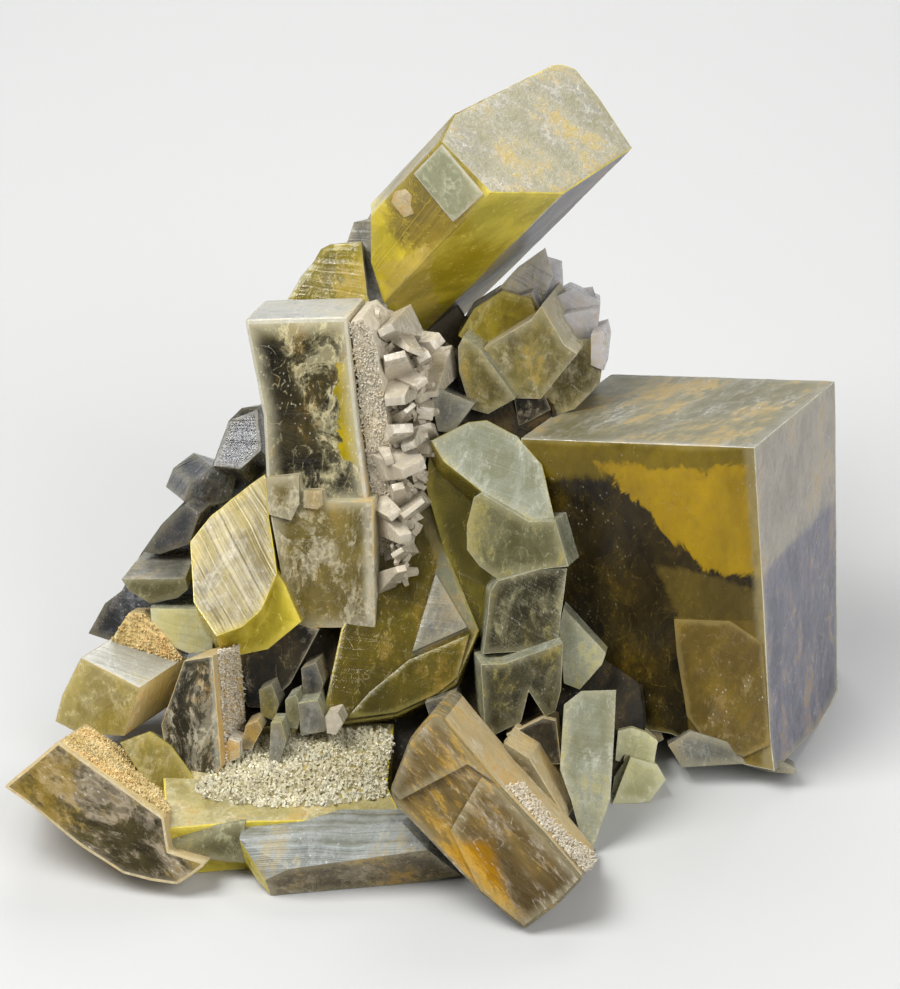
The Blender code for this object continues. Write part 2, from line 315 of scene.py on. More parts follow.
def veils(tree, point, look, made):
    veilMask = ramp(tree, plus(tree, made["broad"], times(tree, made["grain"], weave["veilGrain"])),
                    look["veilFrom"], look["veilTo"])
    veilMask = times(tree, veilMask, look["veilMost"])
    for window in look["windows"]:
        veilMask = times(tree, veilMask, minus(tree, 1.0, zoneMask(tree, point, window, made["wobble"])))
    if look["wisp"] > 0.0:
        wisps = cloud(tree, made["moved"], look["veilScale"] * weave["wispShare"], 2.0, 0.5, 1.4)
        ridge = maths(tree, "ABSOLUTE", minus(tree, wisps, 0.5))
        wispMask = times(tree, minus(tree, 1.0, ramp(tree, ridge, 0.0, weave["wispWidth"])),
                         times(tree, ramp(tree, made["fine"], 0.40, 0.62), look["wisp"]))
        veilMask = maths(tree, "MAXIMUM", veilMask, wispMask)
    wrinkle = maths(tree, "ABSOLUTE", minus(tree, cloud(tree, made["moved"], weave["wrinkleScale"], 3.0, 0.6), 0.5))
    veilTone = mixColour(tree, ramp(tree, wrinkle, 0.0, weave["wrinkleWidth"]),
                         tuple(part * weave["veilLight"] for part in look["veil"]),
                         tuple(part * weave["veilDark"] for part in look["veil"]))
    return veilMask, veilTone


def coverings(tree, point, look, made, colour):
    # veils, stains and flecks over the body colour, and how much of it they cover together
    veilMask, veilTone = veils(tree, point, look, made)
    colour = mixColour(tree, veilMask, colour, veilTone)
    stainMask = ramp(tree, plus(tree, made["second"], times(tree, made["grain"], weave["stainGrain"])),
                     look["stainFrom"], look["stainTo"])
    stainMask = times(tree, stainMask, look["stainMost"])
    colour = mixColour(tree, stainMask, colour, look["stain"])
    speck = cells(tree, made["moved"], weave["speckScale"])
    fleckMask = times(tree, minus(tree, 1.0, ramp(tree, speck, 0.10, 0.20)),
                      times(tree, ramp(tree, made["broad"], 0.50, 0.60), look["fleckMost"]))
    colour = mixColour(tree, fleckMask, colour, look["fleck"])
    return colour, maths(tree, "MAXIMUM", veilMask, maths(tree, "MAXIMUM", stainMask, fleckMask))


def makeSkin(name, changes):
    look = {**plainSkin, **changes}
    material = bpy.data.materials.new(name)
    material.use_nodes = True
    tree = material.node_tree
    shader = tree.nodes["Principled BSDF"]
    place = tree.nodes.new("ShaderNodeTexCoord").outputs["Object"]
    point = scaled(tree, place, (1000.0, 1000.0, 1000.0))
    made = skinPatterns(tree, point, look)
    colour, see = crystalColour(tree, point, look, made)
    colour, cover = coverings(tree, point, look, made, colour)
    tree.links.new(colour, shader.inputs["Base Color"])
    if look["see"] > 0.0:  # an opaque skin keeps a plain socket, so that the export doesn't take it for glass
        seeThrough = times(tree, minus(tree, 1.0, cover), see)
        tree.links.new(seeThrough, shader.inputs["Transmission Weight"])
    rough = plus(tree, mixValue(tree, cover, look["roughClear"], look["roughVeil"]),
                 times(tree, ramp(tree, made["fine"], 0.45, 0.75), weave["roughGrain"]))
    tree.links.new(rough, shader.inputs["Roughness"])
    shader.inputs["IOR"].default_value = weave["refraction"]
    shader.inputs["Specular IOR Level"].default_value = look["shine"]
    height = plus(tree, times(tree, made["growth"], look["lineHeight"] * 1.5),
                  times(tree, made["fine"], look["pitHeight"]))
    tree.links.new(relief(tree, height, 1.0, weave["bumpDepth"]), shader.inputs["Normal"])
    if look["see"] > 0.0 and look["density"] > 0.0:
        volume = tree.nodes.new("ShaderNodeVolumeAbsorption")
        volume.inputs["Color"].default_value = (*look["absorb"], 1.0)
        volume.inputs["Density"].default_value = look["density"]
        tree.links.new(volume.outputs[0], tree.nodes["Material Output"].inputs["Volume"])
    skins[name] = material


# Shared skins: stained frost, mottled flank, milky rims, and the root painted near-black as the shade in the recesses
makeSkin("paleRim", {
    "clear": (0.50, 0.47, 0.37), "deep": (0.42, 0.39, 0.28), "veil": (0.54, 0.52, 0.44), "wisp": 0.0, "cleave": 0.15,
    "shine": 0.5, "rimMost": 0.0, "stainMost": 0.3, "see": 0.0, "roughClear": 0.25,
})
makeSkin("creamFrost", {
    "clear": (0.42, 0.38, 0.25), "deep": (0.30, 0.26, 0.15), "veil": (0.50, 0.46, 0.36), "veilFrom": 0.40,
    "cleave": 0.15, "stain": (0.52, 0.31, 0.05), "stainMost": 0.6, "fleckMost": 0.7, "see": 0.0, "roughClear": 0.32,
    "roughVeil": 0.5,
})
makeSkin("greyFrost", {
    "clear": (0.20, 0.195, 0.16), "deep": (0.12, 0.115, 0.09), "veil": (0.30, 0.29, 0.25),
    "stain": (0.36, 0.24, 0.06), "stainMost": 0.35, "see": 0.3, "roughClear": 0.22, "density": 20.0,
})
makeSkin("paleFrost", {
    "clear": (0.40, 0.41, 0.31), "deep": (0.28, 0.28, 0.17), "veil": (0.47, 0.485, 0.41), "stain": (0.42, 0.36, 0.09),
    "stainMost": 0.6, "see": 0.4, "roughClear": 0.2, "density": 15.0, "seed": 7.0,
})
makeSkin("oliveGlass", {
    "clear": (0.58, 0.47, 0.05), "deep": (0.30, 0.235, 0.02), "veil": (0.34, 0.28, 0.08), "veilFrom": 0.52,
    "veilTo": 0.80, "veilMost": 0.5, "rimTint": (0.40, 0.34, 0.10), "stain": (0.50, 0.26, 0.02), "stainMost": 0.35,
    "see": 0.7, "roughClear": 0.06, "seed": 11.0,
})
# Lemon-yellow glass: its own colour, with its base pushed to full brightness as painted glow where its sides face
# away from the lamps
makeSkin("lemonGlassPaintedGlow", {
    "clear": (1.0, 0.82, 0.06), "deep": (0.72, 0.56, 0.03), "veil": (0.78, 0.66, 0.18), "veilFrom": 0.52,
    "veilMost": 0.5, "rimTint": (0.80, 0.66, 0.15), "stainMost": 0.3, "see": 0.6, "roughClear": 0.04,
    "absorb": (0.95, 0.85, 0.3), "seed": 3.0,
})
makeSkin("darkGlass", {
    "clear": (0.075, 0.06, 0.030), "deep": (0.018, 0.014, 0.008), "veil": (0.30, 0.26, 0.17), "veilFrom": 0.50,
    "veilTo": 0.66, "rimTint": (0.30, 0.27, 0.20), "rimWidth": 0.6, "stain": (0.28, 0.16, 0.03), "stainMost": 0.25,
    "roughClear": 0.06, "seed": 5.0,
})
makeSkin("brownDust", {
    "clear": (0.20, 0.145, 0.055), "deep": (0.085, 0.058, 0.02), "veil": (0.33, 0.28, 0.18), "veilFrom": 0.42,
    "veilTo": 0.66, "veilScale": 0.22, "grainRun": turnToWorld((0.75, -0.6, 0.0)), "stretch": 0.4,
    "stain": (0.46, 0.26, 0.02), "stainMost": 0.6, "see": 0.45, "roughClear": 0.15, "seed": 9.0,
})
makeSkin("orangeCream", {
    "clear": (0.56, 0.46, 0.26), "deep": (0.44, 0.32, 0.14), "veil": (0.62, 0.56, 0.42), "cleave": 0.15,
    "stain": (0.52, 0.29, 0.04), "stainFrom": 0.46, "stainMost": 0.7, "fleckMost": 0.6, "see": 0.0,
    "roughClear": 0.42, "roughVeil": 0.6, "pitHeight": 0.9,
})
makeSkin("paleOrange", {
    "clear": (0.68, 0.53, 0.26), "deep": (0.52, 0.38, 0.14), "veil": (0.68, 0.58, 0.34),
    "rimTint": (0.95, 0.88, 0.66), "rimMost": 0.0, "stain": (0.66, 0.32, 0.03), "stainMost": 0.35, "see": 0.0,
    "roughClear": 0.2, "seed": 19.0,
})
makeSkin("greyGlass", {
    "clear": (0.075, 0.078, 0.085), "deep": (0.025, 0.026, 0.03), "veil": (0.20, 0.21, 0.23), "veilFrom": 0.50,
    "shine": 0.35, "stainMost": 0.15, "see": 0.65, "roughClear": 0.04, "lineScale": 0.6, "lineHeight": 0.9,
    "lineTone": 0.3, "pitHeight": 0.8, "density": 10.0, "seed": 13.0,
})
# The root's near-black body is painted shade for the recesses; rearRoot gives its back part, seen from behind, a
# lighter brown
rearRoot = {"planes": (((0.0, 1.0, 0.0), -16.0),), "colour": (0.24, 0.20, 0.13), "most": 0.9, "see": 0.0,
            "soft": 4.0, "wobble": 8.0}
makeSkin("rootPaintedShade", {
    "clear": (0.022, 0.017, 0.007), "deep": (0.007, 0.005, 0.002), "veil": (0.06, 0.048, 0.022), "veilFrom": 0.52,
    "cleave": 0.15, "shine": 0.15, "rimMost": 0.0, "stain": (0.14, 0.08, 0.012), "stainMost": 0.35, "see": 0.0,
    "roughClear": 0.6, "pitHeight": 1.0, "zones": (rearRoot,),
})
makeSkin("druseCream", {
    "clear": (0.70, 0.66, 0.50), "deep": (0.54, 0.49, 0.32), "veil": (0.66, 0.63, 0.50), "cleave": 0.15,
    "rimMost": 0.0, "stain": (0.60, 0.48, 0.16), "stainMost": 0.25, "see": 0.0, "roughClear": 0.3,
})
makeSkin("druseWhite", {
    "clear": (0.53, 0.475, 0.37), "deep": (0.42, 0.36, 0.26), "veil": (0.58, 0.54, 0.46), "cleave": 0.15,
    "shine": 0.5, "rimMost": 0.0, "stain": (0.56, 0.42, 0.22), "stainMost": 0.4, "see": 0.0, "roughClear": 0.2,
    "seed": 4.0,
})
makeSkin("lilacFrost", {
    "clear": (0.42, 0.40, 0.40), "deep": (0.27, 0.255, 0.24), "veil": (0.47, 0.45, 0.45),
    "rimTint": (0.48, 0.46, 0.46), "stain": (0.36, 0.26, 0.10), "stainMost": 0.45, "see": 0.0, "roughClear": 0.2,
    "seed": 14.0,
})
makeSkin("crust", {
    "clear": (0.62, 0.56, 0.44), "deep": (0.50, 0.44, 0.32), "veil": (0.72, 0.66, 0.56), "veilFrom": 0.40,
    "cleave": 0.15, "rimMost": 0.0, "stain": (0.60, 0.46, 0.22), "see": 0.0, "roughClear": 0.45, "pitHeight": 1.0,
    "seed": 15.0,
})
print("shared skins ready", len(skins))


# Crystal bodies
finish = {
    "floorCut": 0.00002,
    "restHeight": 0.0002,
    "sharpAngle": 0.3,
    "smoothAngle": 28.0,
    "weldDistance": 0.00001,
    "broadSwell": 130.0,
    "fineSwell": 500.0,
    "fineShare": 0.5,
    "leastWave": 0.75,
    "swellShare": 0.5,
    "splitRounds": 5,
    "edgeSegments": 2,
    "edgeProfile": 0.6,
}


def ringPrism(nearRing, farRing):
    data = bmesh.new()
    front = [data.verts.new(toWorld(point)) for point in nearRing]
    back = [data.verts.new(toWorld(point)) for point in farRing]
    faces = [data.faces.new(front), data.faces.new(back[::-1])]
    faces[1].material_index = 1
    for i in range(len(front)):
        j = (i + 1) % len(front)
        side = data.faces.new((front[j], front[i], back[i], back[j]))
        side.material_index = 3 + i
    return data


def cutAway(data, place, normal, skinIndex):
    parts = data.verts[:] + data.edges[:] + data.faces[:]
    cut = bmesh.ops.bisect_plane(data, geom=parts, plane_co=place, plane_no=normal, clear_outer=True)
    rim = [item for item in cut["geom_cut"] if isinstance(item, bmesh.types.BMEdge)]
    if rim:
        made = bmesh.ops.contextual_create(data, geom=rim)
        for face in made["faces"]:
            face.material_index = skinIndex


def trimToOutline(data, first, second):
    middle = sum((vert.co for vert in data.verts), Vector()) / len(data.verts)
    eye = toWorld(Vector((0.0, 0.0, -view["eyeDistance"])))
    toFirst = toWorld(onSightLine(*first, 0.0)) - eye
    toSecond = toWorld(onSightLine(*second, 0.0)) - eye
    normal = toFirst.cross(toSecond).normalized()
    if normal.dot(middle - eye) > 0.0:
        normal = -normal
    cutAway(data, eye, normal, 1)


def smoothOut(data, fineness, wave, seed):
    bmesh.ops.triangulate(data, faces=[face for face in data.faces if len(face.verts) > 4])
    for step in range(finish["splitRounds"]):
        longOnes = [edge for edge in data.edges if edge.calc_length() > fineness]
        if not longOnes:
            break
        bmesh.ops.subdivide_edges(data, edges=longOnes, cuts=1)
        bmesh.ops.triangulate(data, faces=[face for face in data.faces if len(face.verts) > 3])
    data.normal_update()
    shift = Vector((seed, seed * 0.7, -seed))
    for vert in data.verts:
        if vert.co.z > finish["restHeight"]:
            swell = noise.noise(vert.co * finish["broadSwell"] + shift)
            swell += finish["fineShare"] * noise.noise(vert.co * finish["fineSwell"] + shift)
            vert.co -= vert.normal * (wave * (finish["leastWave"] + finish["swellShare"] * swell))
            vert.co.z = max(vert.co.z, finish["floorCut"])


def sharpEdges(data):
    return [edge for edge in data.edges
            if len(edge.link_faces) == 2 and edge.calc_face_angle(0.0) > finish["sharpAngle"]]


def sharpSegments(data):
    sharp = sharpEdges(data)
    return np.array([[edge.verts[0].co[:], edge.verts[1].co[:]] for edge in sharp]) * 1000.0


def markInward(mesh, segments):
    # how far each point lies from the crystal's nearest edge (mm), read by the milky rims
    points = np.empty(len(mesh.vertices) * 3)
    mesh.vertices.foreach_get("co", points)
    points = points.reshape(-1, 1, 3) * 1000.0
    start = segments[:, 0]
    span = segments[:, 1] - start
    reach = ((points - start) * span).sum(2) / np.maximum((span * span).sum(1), 1e-9)
    nearest = start + np.clip(reach, 0.0, 1.0)[..., None] * span
    distance = np.linalg.norm(points - nearest, axis=2).min(1)
    mesh.attributes.new("inward", "FLOAT", "POINT").data.foreach_set("value", distance)


def joinCluster(piece):
    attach(piece, "root")
    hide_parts("barite_cluster")


def finishPiece(name, data, materials, segments=None):
    bmesh.ops.recalc_face_normals(data, faces=data.faces[:])
    unique = list(dict.fromkeys(materials))
    for face in data.faces:
        face.material_index = unique.index(materials[face.material_index])
    mesh = bpy.data.meshes.new(name)
    for material in unique:
        mesh.materials.append(material)
    data.to_mesh(mesh)
    data.free()
    if segments is not None and len(segments):
        markInward(mesh, segments)
    mesh.set_sharp_from_angle(angle=math.radians(finish["smoothAngle"]))
    piece = bpy.data.objects.new(name, mesh)
    bpy.context.scene.collection.objects.link(piece)
    joinCluster(piece)
    return piece


def crystalRings(shape):
    run = Vector(shape["run"])
    outline = shape["outline"]
    origin = onSightLine(outline[0][0], outline[0][1], shape["near"])
    ring = [onFace(px, py, origin, run) for px, py in outline]
    middle = sum(ring, Vector()) / len(ring)
    far = [middle + (point - middle) * shape.get("taper", 1.0) + run for point in ring]
    return ring, far


def softenEdges(data, width):
    bmesh.ops.bevel(data, geom=sharpEdges(data), offset=width, segments=finish["edgeSegments"],
                    profile=finish["edgeProfile"], affect="EDGES", clamp_overlap=True, material=2)


def addCrystal(name, shape):
    ring, far = crystalRings(shape)
    data = ringPrism(ring, far)
    bmesh.ops.recalc_face_normals(data, faces=data.faces[:])
    for first, second in shape.get("trims", ()):
        trimToOutline(data, first, second)
    cutAway(data, Vector((0.0, 0.0, finish["floorCut"])), Vector((0.0, 0.0, -1.0)), 1)
    bmesh.ops.remove_doubles(data, verts=data.verts[:], dist=finish["weldDistance"])
    segments = sharpSegments(data)
    softenEdges(data, shape.get("rim", 0.35) * 0.001)
    smoothOut(data, shape.get("fineness", 1.3) * 0.001, shape.get("wave", 0.14) * 0.001, len(name) * 3.1)
    special = shape.get("facets", {})
    sides = shape.get("sides", shape["front"])
    slots = [shape["front"], sides, shape.get("edge", sides)]
    for i in range(len(shape["outline"])):
        slots.append(special.get(i, sides))
    return finishPiece(name, data, [skins[slot] for slot in slots], segments)


def facetPlane(shape, side=None):
    # a point of the facet and its outward normal: the seen face, or the side after outline point "side"
    ring, far = crystalRings(shape)
    run = Vector(shape["run"])
    if side is None:
        return ring[0], -run.normalized()
    corner, following = ring[side], ring[(side + 1) % len(ring)]
    normal = (following - corner).cross(far[side] - corner).normalized()
    middle = sum(ring, Vector()) / len(ring)
    if normal.dot(middle - corner) > 0.0:
        normal = -normal
    return corner, normal


plateFinish = {"rim": 0.12, "sink": 0.5, "fineness": 0.0012, "wave": 0.00003}


def addPlate(name, shape):
    # growth plate: a low step on a crystal's facet, sunk a little so that it sits in the crystal
    corner, normal = facetPlane(shape["on"], shape.get("side"))
    ring = [onFace(px, py, corner, normal) for px, py in shape["outline"]]
    data = ringPrism([point + normal * shape["height"] for point in ring],
                     [point - normal * shape.get("sink", plateFinish["sink"]) for point in ring])
    bmesh.ops.recalc_face_normals(data, faces=data.faces[:])
    segments = sharpSegments(data)
    softenEdges(data, shape.get("rim", plateFinish["rim"]) * 0.001)
    smoothOut(data, plateFinish["fineness"], plateFinish["wave"], len(name) * 1.9)
    sides = shape.get("sides", shape["front"])
    slots = [shape["front"], sides, shape.get("edge", sides)] + [sides] * len(ring)
    return finishPiece(name, data, [skins[slot] for slot in slots], segments)


def zonePlane(shape, first, second, inside):
    # plane through two seen points of the face and along the side edges; positive on the side of inside
    run = Vector(shape["run"])
    origin = onSightLine(*shape["outline"][0], shape["near"])
    a, b, c = [toWorld(onFace(px, py, origin, run)) * 1000.0 for px, py in (first, second, inside)]
    normal = (b - a).cross(turnToWorld(run)).normalized()
    if normal.dot(c - a) < 0.0:
        normal = -normal
    return tuple(normal), -normal.dot(a)


# Great block at the right: stained top, golden front over a dark lower half, mottled flank with a painted bluish
# reflection on its lower part
greatBlock = {
    "outline": ((755, 447), (764, 600), (771, 739), (775, 772), (742, 765), (702, 747),
                (670, 735), (600, 722), (556, 640), (520, 438)),
    "near": -18.0,
    "run": (13.0, 9.3, 28.0),
    "trims": (((836, 380), (838, 690)), ((838, 690), (797, 777))),
    "front": "blockFront",
    "sides": "blockFlank",
    "facets": {9: "blockTop"},
    "rim": 0.75, "edge": "paleRim",
}
goldZone = {
    "planes": (zonePlane(greatBlock, (612, 480), (700, 566), (740, 480)),
               zonePlane(greatBlock, (690, 566), (765, 582), (740, 480)),
               zonePlane(greatBlock, (600, 463), (760, 470), (700, 520))),
    "colour": (0.62, 0.38, 0.0), "most": 0.94, "see": 0.45, "soft": 0.35, "wobble": 7.0,
}
panelZone = {
    "planes": (zonePlane(greatBlock, (674, 619), (690, 740), (740, 680)),
               zonePlane(greatBlock, (674, 617), (730, 620), (700, 700))),
    "colour": (0.20, 0.135, 0.022), "most": 0.9, "see": 0.3, "soft": 0.2, "wobble": 1.0,
}
topGlowZone = {
    "planes": (zonePlane(greatBlock, (520, 476), (765, 484), (700, 455)),),
    "colour": (0.26, 0.18, 0.010), "most": 0.85, "see": 0.3, "soft": 0.8, "wobble": 4.0,
}
lowerZone = {
    "planes": (zonePlane(greatBlock, (640, 540), (690, 640), (740, 600)),
               zonePlane(greatBlock, (640, 560), (765, 590), (700, 640))),
    "colour": (0.15, 0.105, 0.018), "most": 0.85, "see": 0.3, "soft": 0.5, "wobble": 4.0,
}
rightEdgeZone = {
    "planes": (zonePlane(greatBlock, (745, 447), (762, 760), (775, 600)),),
    "colour": (0.34, 0.28, 0.14), "most": 0.8, "see": 0.2, "soft": 0.5, "wobble": 2.0,
}
makeSkin("blockFront", {
    "clear": (0.050, 0.034, 0.008), "deep": (0.010, 0.007, 0.003), "veil": (0.12, 0.085, 0.022), "veilFrom": 0.52,
    "veilTo": 0.85, "veilMost": 0.6, "cleave": 0.3, "shine": 0.05, "rimTint": (0.30, 0.24, 0.08), "rimWidth": 1.0,
    "rimMost": 0.5, "stain": (0.24, 0.15, 0.01), "stainMost": 0.25, "fleckMost": 0.2, "see": 0.25, "roughClear": 0.1,
    "lineRun": turnToWorld((0.75, -0.65, 0.0)), "lineScale": 0.35, "lineHeight": 0.2,
    "zones": (topGlowZone, goldZone, lowerZone, panelZone, rightEdgeZone), "seed": 2.0,
})
# Lower part of the block's flank: a dark bluish grey, a painted reflection
flankPaintedReflection = {
    "planes": (zonePlane({**greatBlock, "run": (0.0, 0.0, 28.0)}, (762, 578), (835, 518), (800, 640)),),
    "colour": (0.16, 0.16, 0.21), "most": 0.95, "see": 0.1, "soft": 0.7, "wobble": 3.0,
}
makeSkin("blockFlank", {
    "clear": (0.36, 0.33, 0.28), "deep": (0.25, 0.225, 0.185), "veil": (0.36, 0.34, 0.32), "veilFrom": 0.40,
    "veilScale": 0.3, "veilMost": 0.4, "cleave": 0.0, "grainRun": turnToWorld((0.3, 0.9, 0.3)),
    "stain": (0.42, 0.27, 0.10), "stainMost": 0.45, "fleckMost": 0.4, "see": 0.0, "roughClear": 0.3, "pitHeight": 0.6,
    "zones": (flankPaintedReflection,), "seed": 6.0,
})
makeSkin("blockTop", {
    "clear": (0.21, 0.195, 0.12), "deep": (0.14, 0.125, 0.065), "veil": (0.30, 0.29, 0.24), "veilFrom": 0.42,
    "cleave": 0.0, "grainRun": turnToWorld((0.5, 0.3, 0.8)), "stretch": 0.35, "rimTint": (0.34, 0.33, 0.29),
    "rimWidth": 2.2, "stain": (0.40, 0.26, 0.06), "stainFrom": 0.50, "stainTo": 0.66, "stainMost": 0.6, "see": 0.0,
    "roughClear": 0.28, "lineRun": turnToWorld((0.1, 0.9, 0.4)), "lineScale": 0.5, "seed": 8.0,
})
addCrystal("greatBlock", greatBlock)
makeSkin("panelGlass", {
    "clear": (0.20, 0.135, 0.022), "deep": (0.12, 0.078, 0.016), "veil": (0.24, 0.18, 0.08), "veilFrom": 0.52,
    "rimTint": (0.32, 0.25, 0.10), "rimWidth": 0.8, "stain": (0.34, 0.18, 0.02), "stainMost": 0.3, "see": 0.25,
    "roughClear": 0.1, "lineRun": turnToWorld((0.75, -0.65, 0.0)), "lineScale": 0.3, "lineTone": 0.25, "seed": 2.5,
})
addPlate("blockPanel", {
    "on": greatBlock, "height": 0.15, "front": "panelGlass", "rim": 0.1,
    "outline": ((674, 619), (730, 621), (763, 643), (770, 745), (744, 757), (706, 741), (687, 716), (684, 697),
                (677, 655)),
})

blockFoot = {
    "outline": ((682, 768), (667, 745), (690, 730), (765, 752), (797, 768), (797, 775), (768, 773), (742, 765)),
    "near": -4.0, "run": (0.5, 1.0, 18.0), "front": "greyFrost", "rim": 0.2,
}
addCrystal("blockFoot", blockFoot)
print("great block done")

# Pillar at the left: frosted top and rims, a dark window with dusty veils, a golden patch, a stepped lower half
pillarUpper = {
    "outline": ((348, 317), (356, 400), (362, 450), (369, 505), (266, 505), (262, 417), (243, 320)),
    "near": -13.0, "run": (2.05, 3.3, 12.0), "front": "pillarFront", "sides": "creamFrost",
    "facets": {6: "pillarTop"}, "rim": 0.6, "edge": "paleRim",
}
goldPatch = {
    "planes": (zonePlane(pillarUpper, (338, 365), (343, 465), (355, 420)),
               zonePlane(pillarUpper, (330, 372), (360, 358), (350, 420)),
               zonePlane(pillarUpper, (330, 455), (362, 462), (350, 420))),
    "colour": (0.52, 0.385, 0.0), "most": 1.0, "see": 0.3, "soft": 0.2, "wobble": 6.0,
}
pillarFrostTop = {
    "planes": (zonePlane(pillarUpper, (243, 338), (352, 335), (300, 322)),),
    "colour": (0.30, 0.26, 0.13), "most": 0.85, "see": 0.2, "soft": 1.0, "wobble": 3.0,
}
pillarRightRim = {
    "planes": (zonePlane(pillarUpper, (342, 317), (364, 500), (369, 420)),),
    "colour": (0.40, 0.36, 0.24), "most": 0.85, "see": 0.2, "soft": 0.4, "wobble": 1.0,
}
pillarWindow = {
    "planes": (zonePlane(pillarUpper, (274, 335), (330, 478), (265, 450)),
               zonePlane(pillarUpper, (262, 472), (340, 466), (300, 400))),
    "soft": 0.6, "wobble": 7.0,
}
makeSkin("pillarFront", {
    "clear": (0.075, 0.060, 0.020), "deep": (0.014, 0.011, 0.005), "veil": (0.56, 0.50, 0.29), "veilFrom": 0.46,
    "veilTo": 0.62, "veilScale": 0.17, "veilMost": 0.8, "wisp": 0.6, "shine": 0.08, "rimTint": (0.44, 0.40, 0.27),
    "rimWidth": 2.8, "rimMost": 0.9, "stainMost": 0.2, "roughClear": 0.02,
    "zones": (pillarFrostTop, goldPatch, pillarRightRim), "windows": (pillarWindow, goldPatch), "seed": 21.0,
})
makeSkin("pillarTop", {
    "clear": (0.40, 0.40, 0.37), "deep": (0.33, 0.32, 0.28), "veil": (0.42, 0.42, 0.39), "cleave": 0.0,
    "rimTint": (0.46, 0.46, 0.44), "rimMost": 0.3, "stain": (0.42, 0.34, 0.12), "stainMost": 0.4, "see": 0.0,
    "roughClear": 0.3, "seed": 1.0,
})
pillarLower = {
    "outline": ((374, 500), (376, 629), (299, 629), (287, 613), (270, 520), (265, 478), (300, 474), (303, 490),
                (324, 490), (326, 500)),
    "near": -8.4, "run": (2.05, 3.3, 12.0), "front": "pillarLow", "sides": "creamFrost", "rim": 0.35,
}
lowerRim = {
    "planes": (zonePlane(pillarLower, (364, 505), (365, 629), (376, 560)),),
    "colour": (0.48, 0.44, 0.33), "most": 0.9, "see": 0.15, "soft": 0.6, "wobble": 1.0,
}
makeSkin("pillarLow", {
    "clear": (0.33, 0.25, 0.05), "deep": (0.17, 0.125, 0.022), "veil": (0.46, 0.41, 0.28), "veilFrom": 0.48,
    "veilTo": 0.6, "veilScale": 0.2, "rimTint": (0.44, 0.40, 0.28), "rimWidth": 2.2, "rimMost": 0.7,
    "stainMost": 0.25, "roughClear": 0.12, "zones": (lowerRim,), "seed": 17.0,
})
addCrystal("pillarUpper", pillarUpper)
addCrystal("pillarLower", pillarLower)
for name, plate in {
    "pillarStepA": {"outline": ((266, 477), (300, 475), (300, 503), (292, 520), (269, 514)), "height": 0.45},
    "pillarStepB": {"outline": ((304, 490), (323, 490), (324, 504), (318, 509), (304, 507)), "height": 0.5},
}.items():
    addPlate(name, {"on": pillarLower, "front": "pillarLow", **plate})
pillarBack = {
    "outline": ((290, 334), (320, 330), (364, 328), (389, 500), (391, 600), (375, 628), (310, 600), (285, 480)),
    "near": -3.5, "run": (2.05, 3.3, 9.0), "front": "druseWhite",
}
addCrystal("pillarBack", pillarBack)
flankBase = {
    "outline": ((374, 322), (392, 328), (428, 365), (434, 410), (426, 480), (414, 560), (400, 600), (384, 600)),
    "near": -4.5, "run": (0.0, 0.6, 10.0), "front": "druseWhite", "wave": 0.5,
}
addCrystal("flankBase", flankBase)
crustStrip = {
    "outline": ((349, 322), (361, 318), (374, 332), (385, 400), (395, 500), (398, 596), (388, 624), (375, 627),
                (372, 505), (360, 410)),
    "near": -12.2, "run": (2.0, 3.0, 8.0), "front": "crust", "rim": 0.3,
}
addCrystal("crustStrip", crustStrip)
print("pillar done")

# Crown: frosted top face, clear olive and lemon body running down to the left, its lower left and bottom brightened
# as painted glow
crown = {
    "outline": ((491, 193), (440, 141), (454, 113), (552, 64), (562, 63), (576, 68), (600, 97), (634, 148),
                (564, 194)),
    "near": -12.0, "run": (-25.6, -24.5, 28.8), "taper": 0.98,
    "trims": (((370, 198), (370, 268)), ((370, 262), (388, 319)), ((388, 317), (427, 339)),
              ((425, 338), (502, 296))),
    "front": "crownTop", "sides": "crownBody", "facets": {7: "crownFlank", 6: "crownFlank", 8: "crownFrontPaintedLight"},
    "rim": 1.1,
}
crownSight = {**crown, "run": (0.0, 0.0, 30.0)}
# crownLemonPaintedGlow and crownLowPaintedGlow: the crown's own lemon colour, made brightest at the lower left and
# bottom as painted glow of light passing through
crownLemonPaintedGlow = {
    "planes": (zonePlane(crownSight, (384, 200), (446, 300), (372, 290)),),
    "colour": (1.0, 0.80, 0.05), "most": 0.95, "see": 0.35, "soft": 1.5, "wobble": 9.0,
}
crownBright = {
    "planes": (zonePlane(crownSight, (480, 190), (460, 240), (540, 210)),
               zonePlane(crownSight, (480, 236), (560, 236), (520, 200))),
    "colour": (0.95, 0.80, 0.12), "most": 0.95, "see": 0.3, "soft": 1.2, "wobble": 5.0,
}
crownLowPaintedGlow = {
    "planes": (zonePlane(crownSight, (392, 296), (480, 262), (430, 335)),),
    "colour": (1.0, 0.80, 0.05), "most": 0.9, "see": 0.35, "soft": 2.0, "wobble": 9.0,
}
flankLow = {
    "planes": (zonePlane(crownSight, (520, 235), (575, 285), (430, 330)),),
    "colour": (0.42, 0.34, 0.08), "most": 0.85, "see": 0.1, "soft": 3.0, "wobble": 8.0,
}
crownCrust = {
    "planes": (zonePlane(crownSight, (386, 262), (394, 306), (410, 280)),
               zonePlane(crownSight, (424, 240), (438, 300), (410, 280)),
               zonePlane(crownSight, (386, 256), (430, 244), (410, 280)),
               zonePlane(crownSight, (390, 300), (436, 312), (410, 280))),
    "colour": (0.74, 0.54, 0.14), "most": 0.7, "see": 0.1, "soft": 0.8, "wobble": 12.0,
}
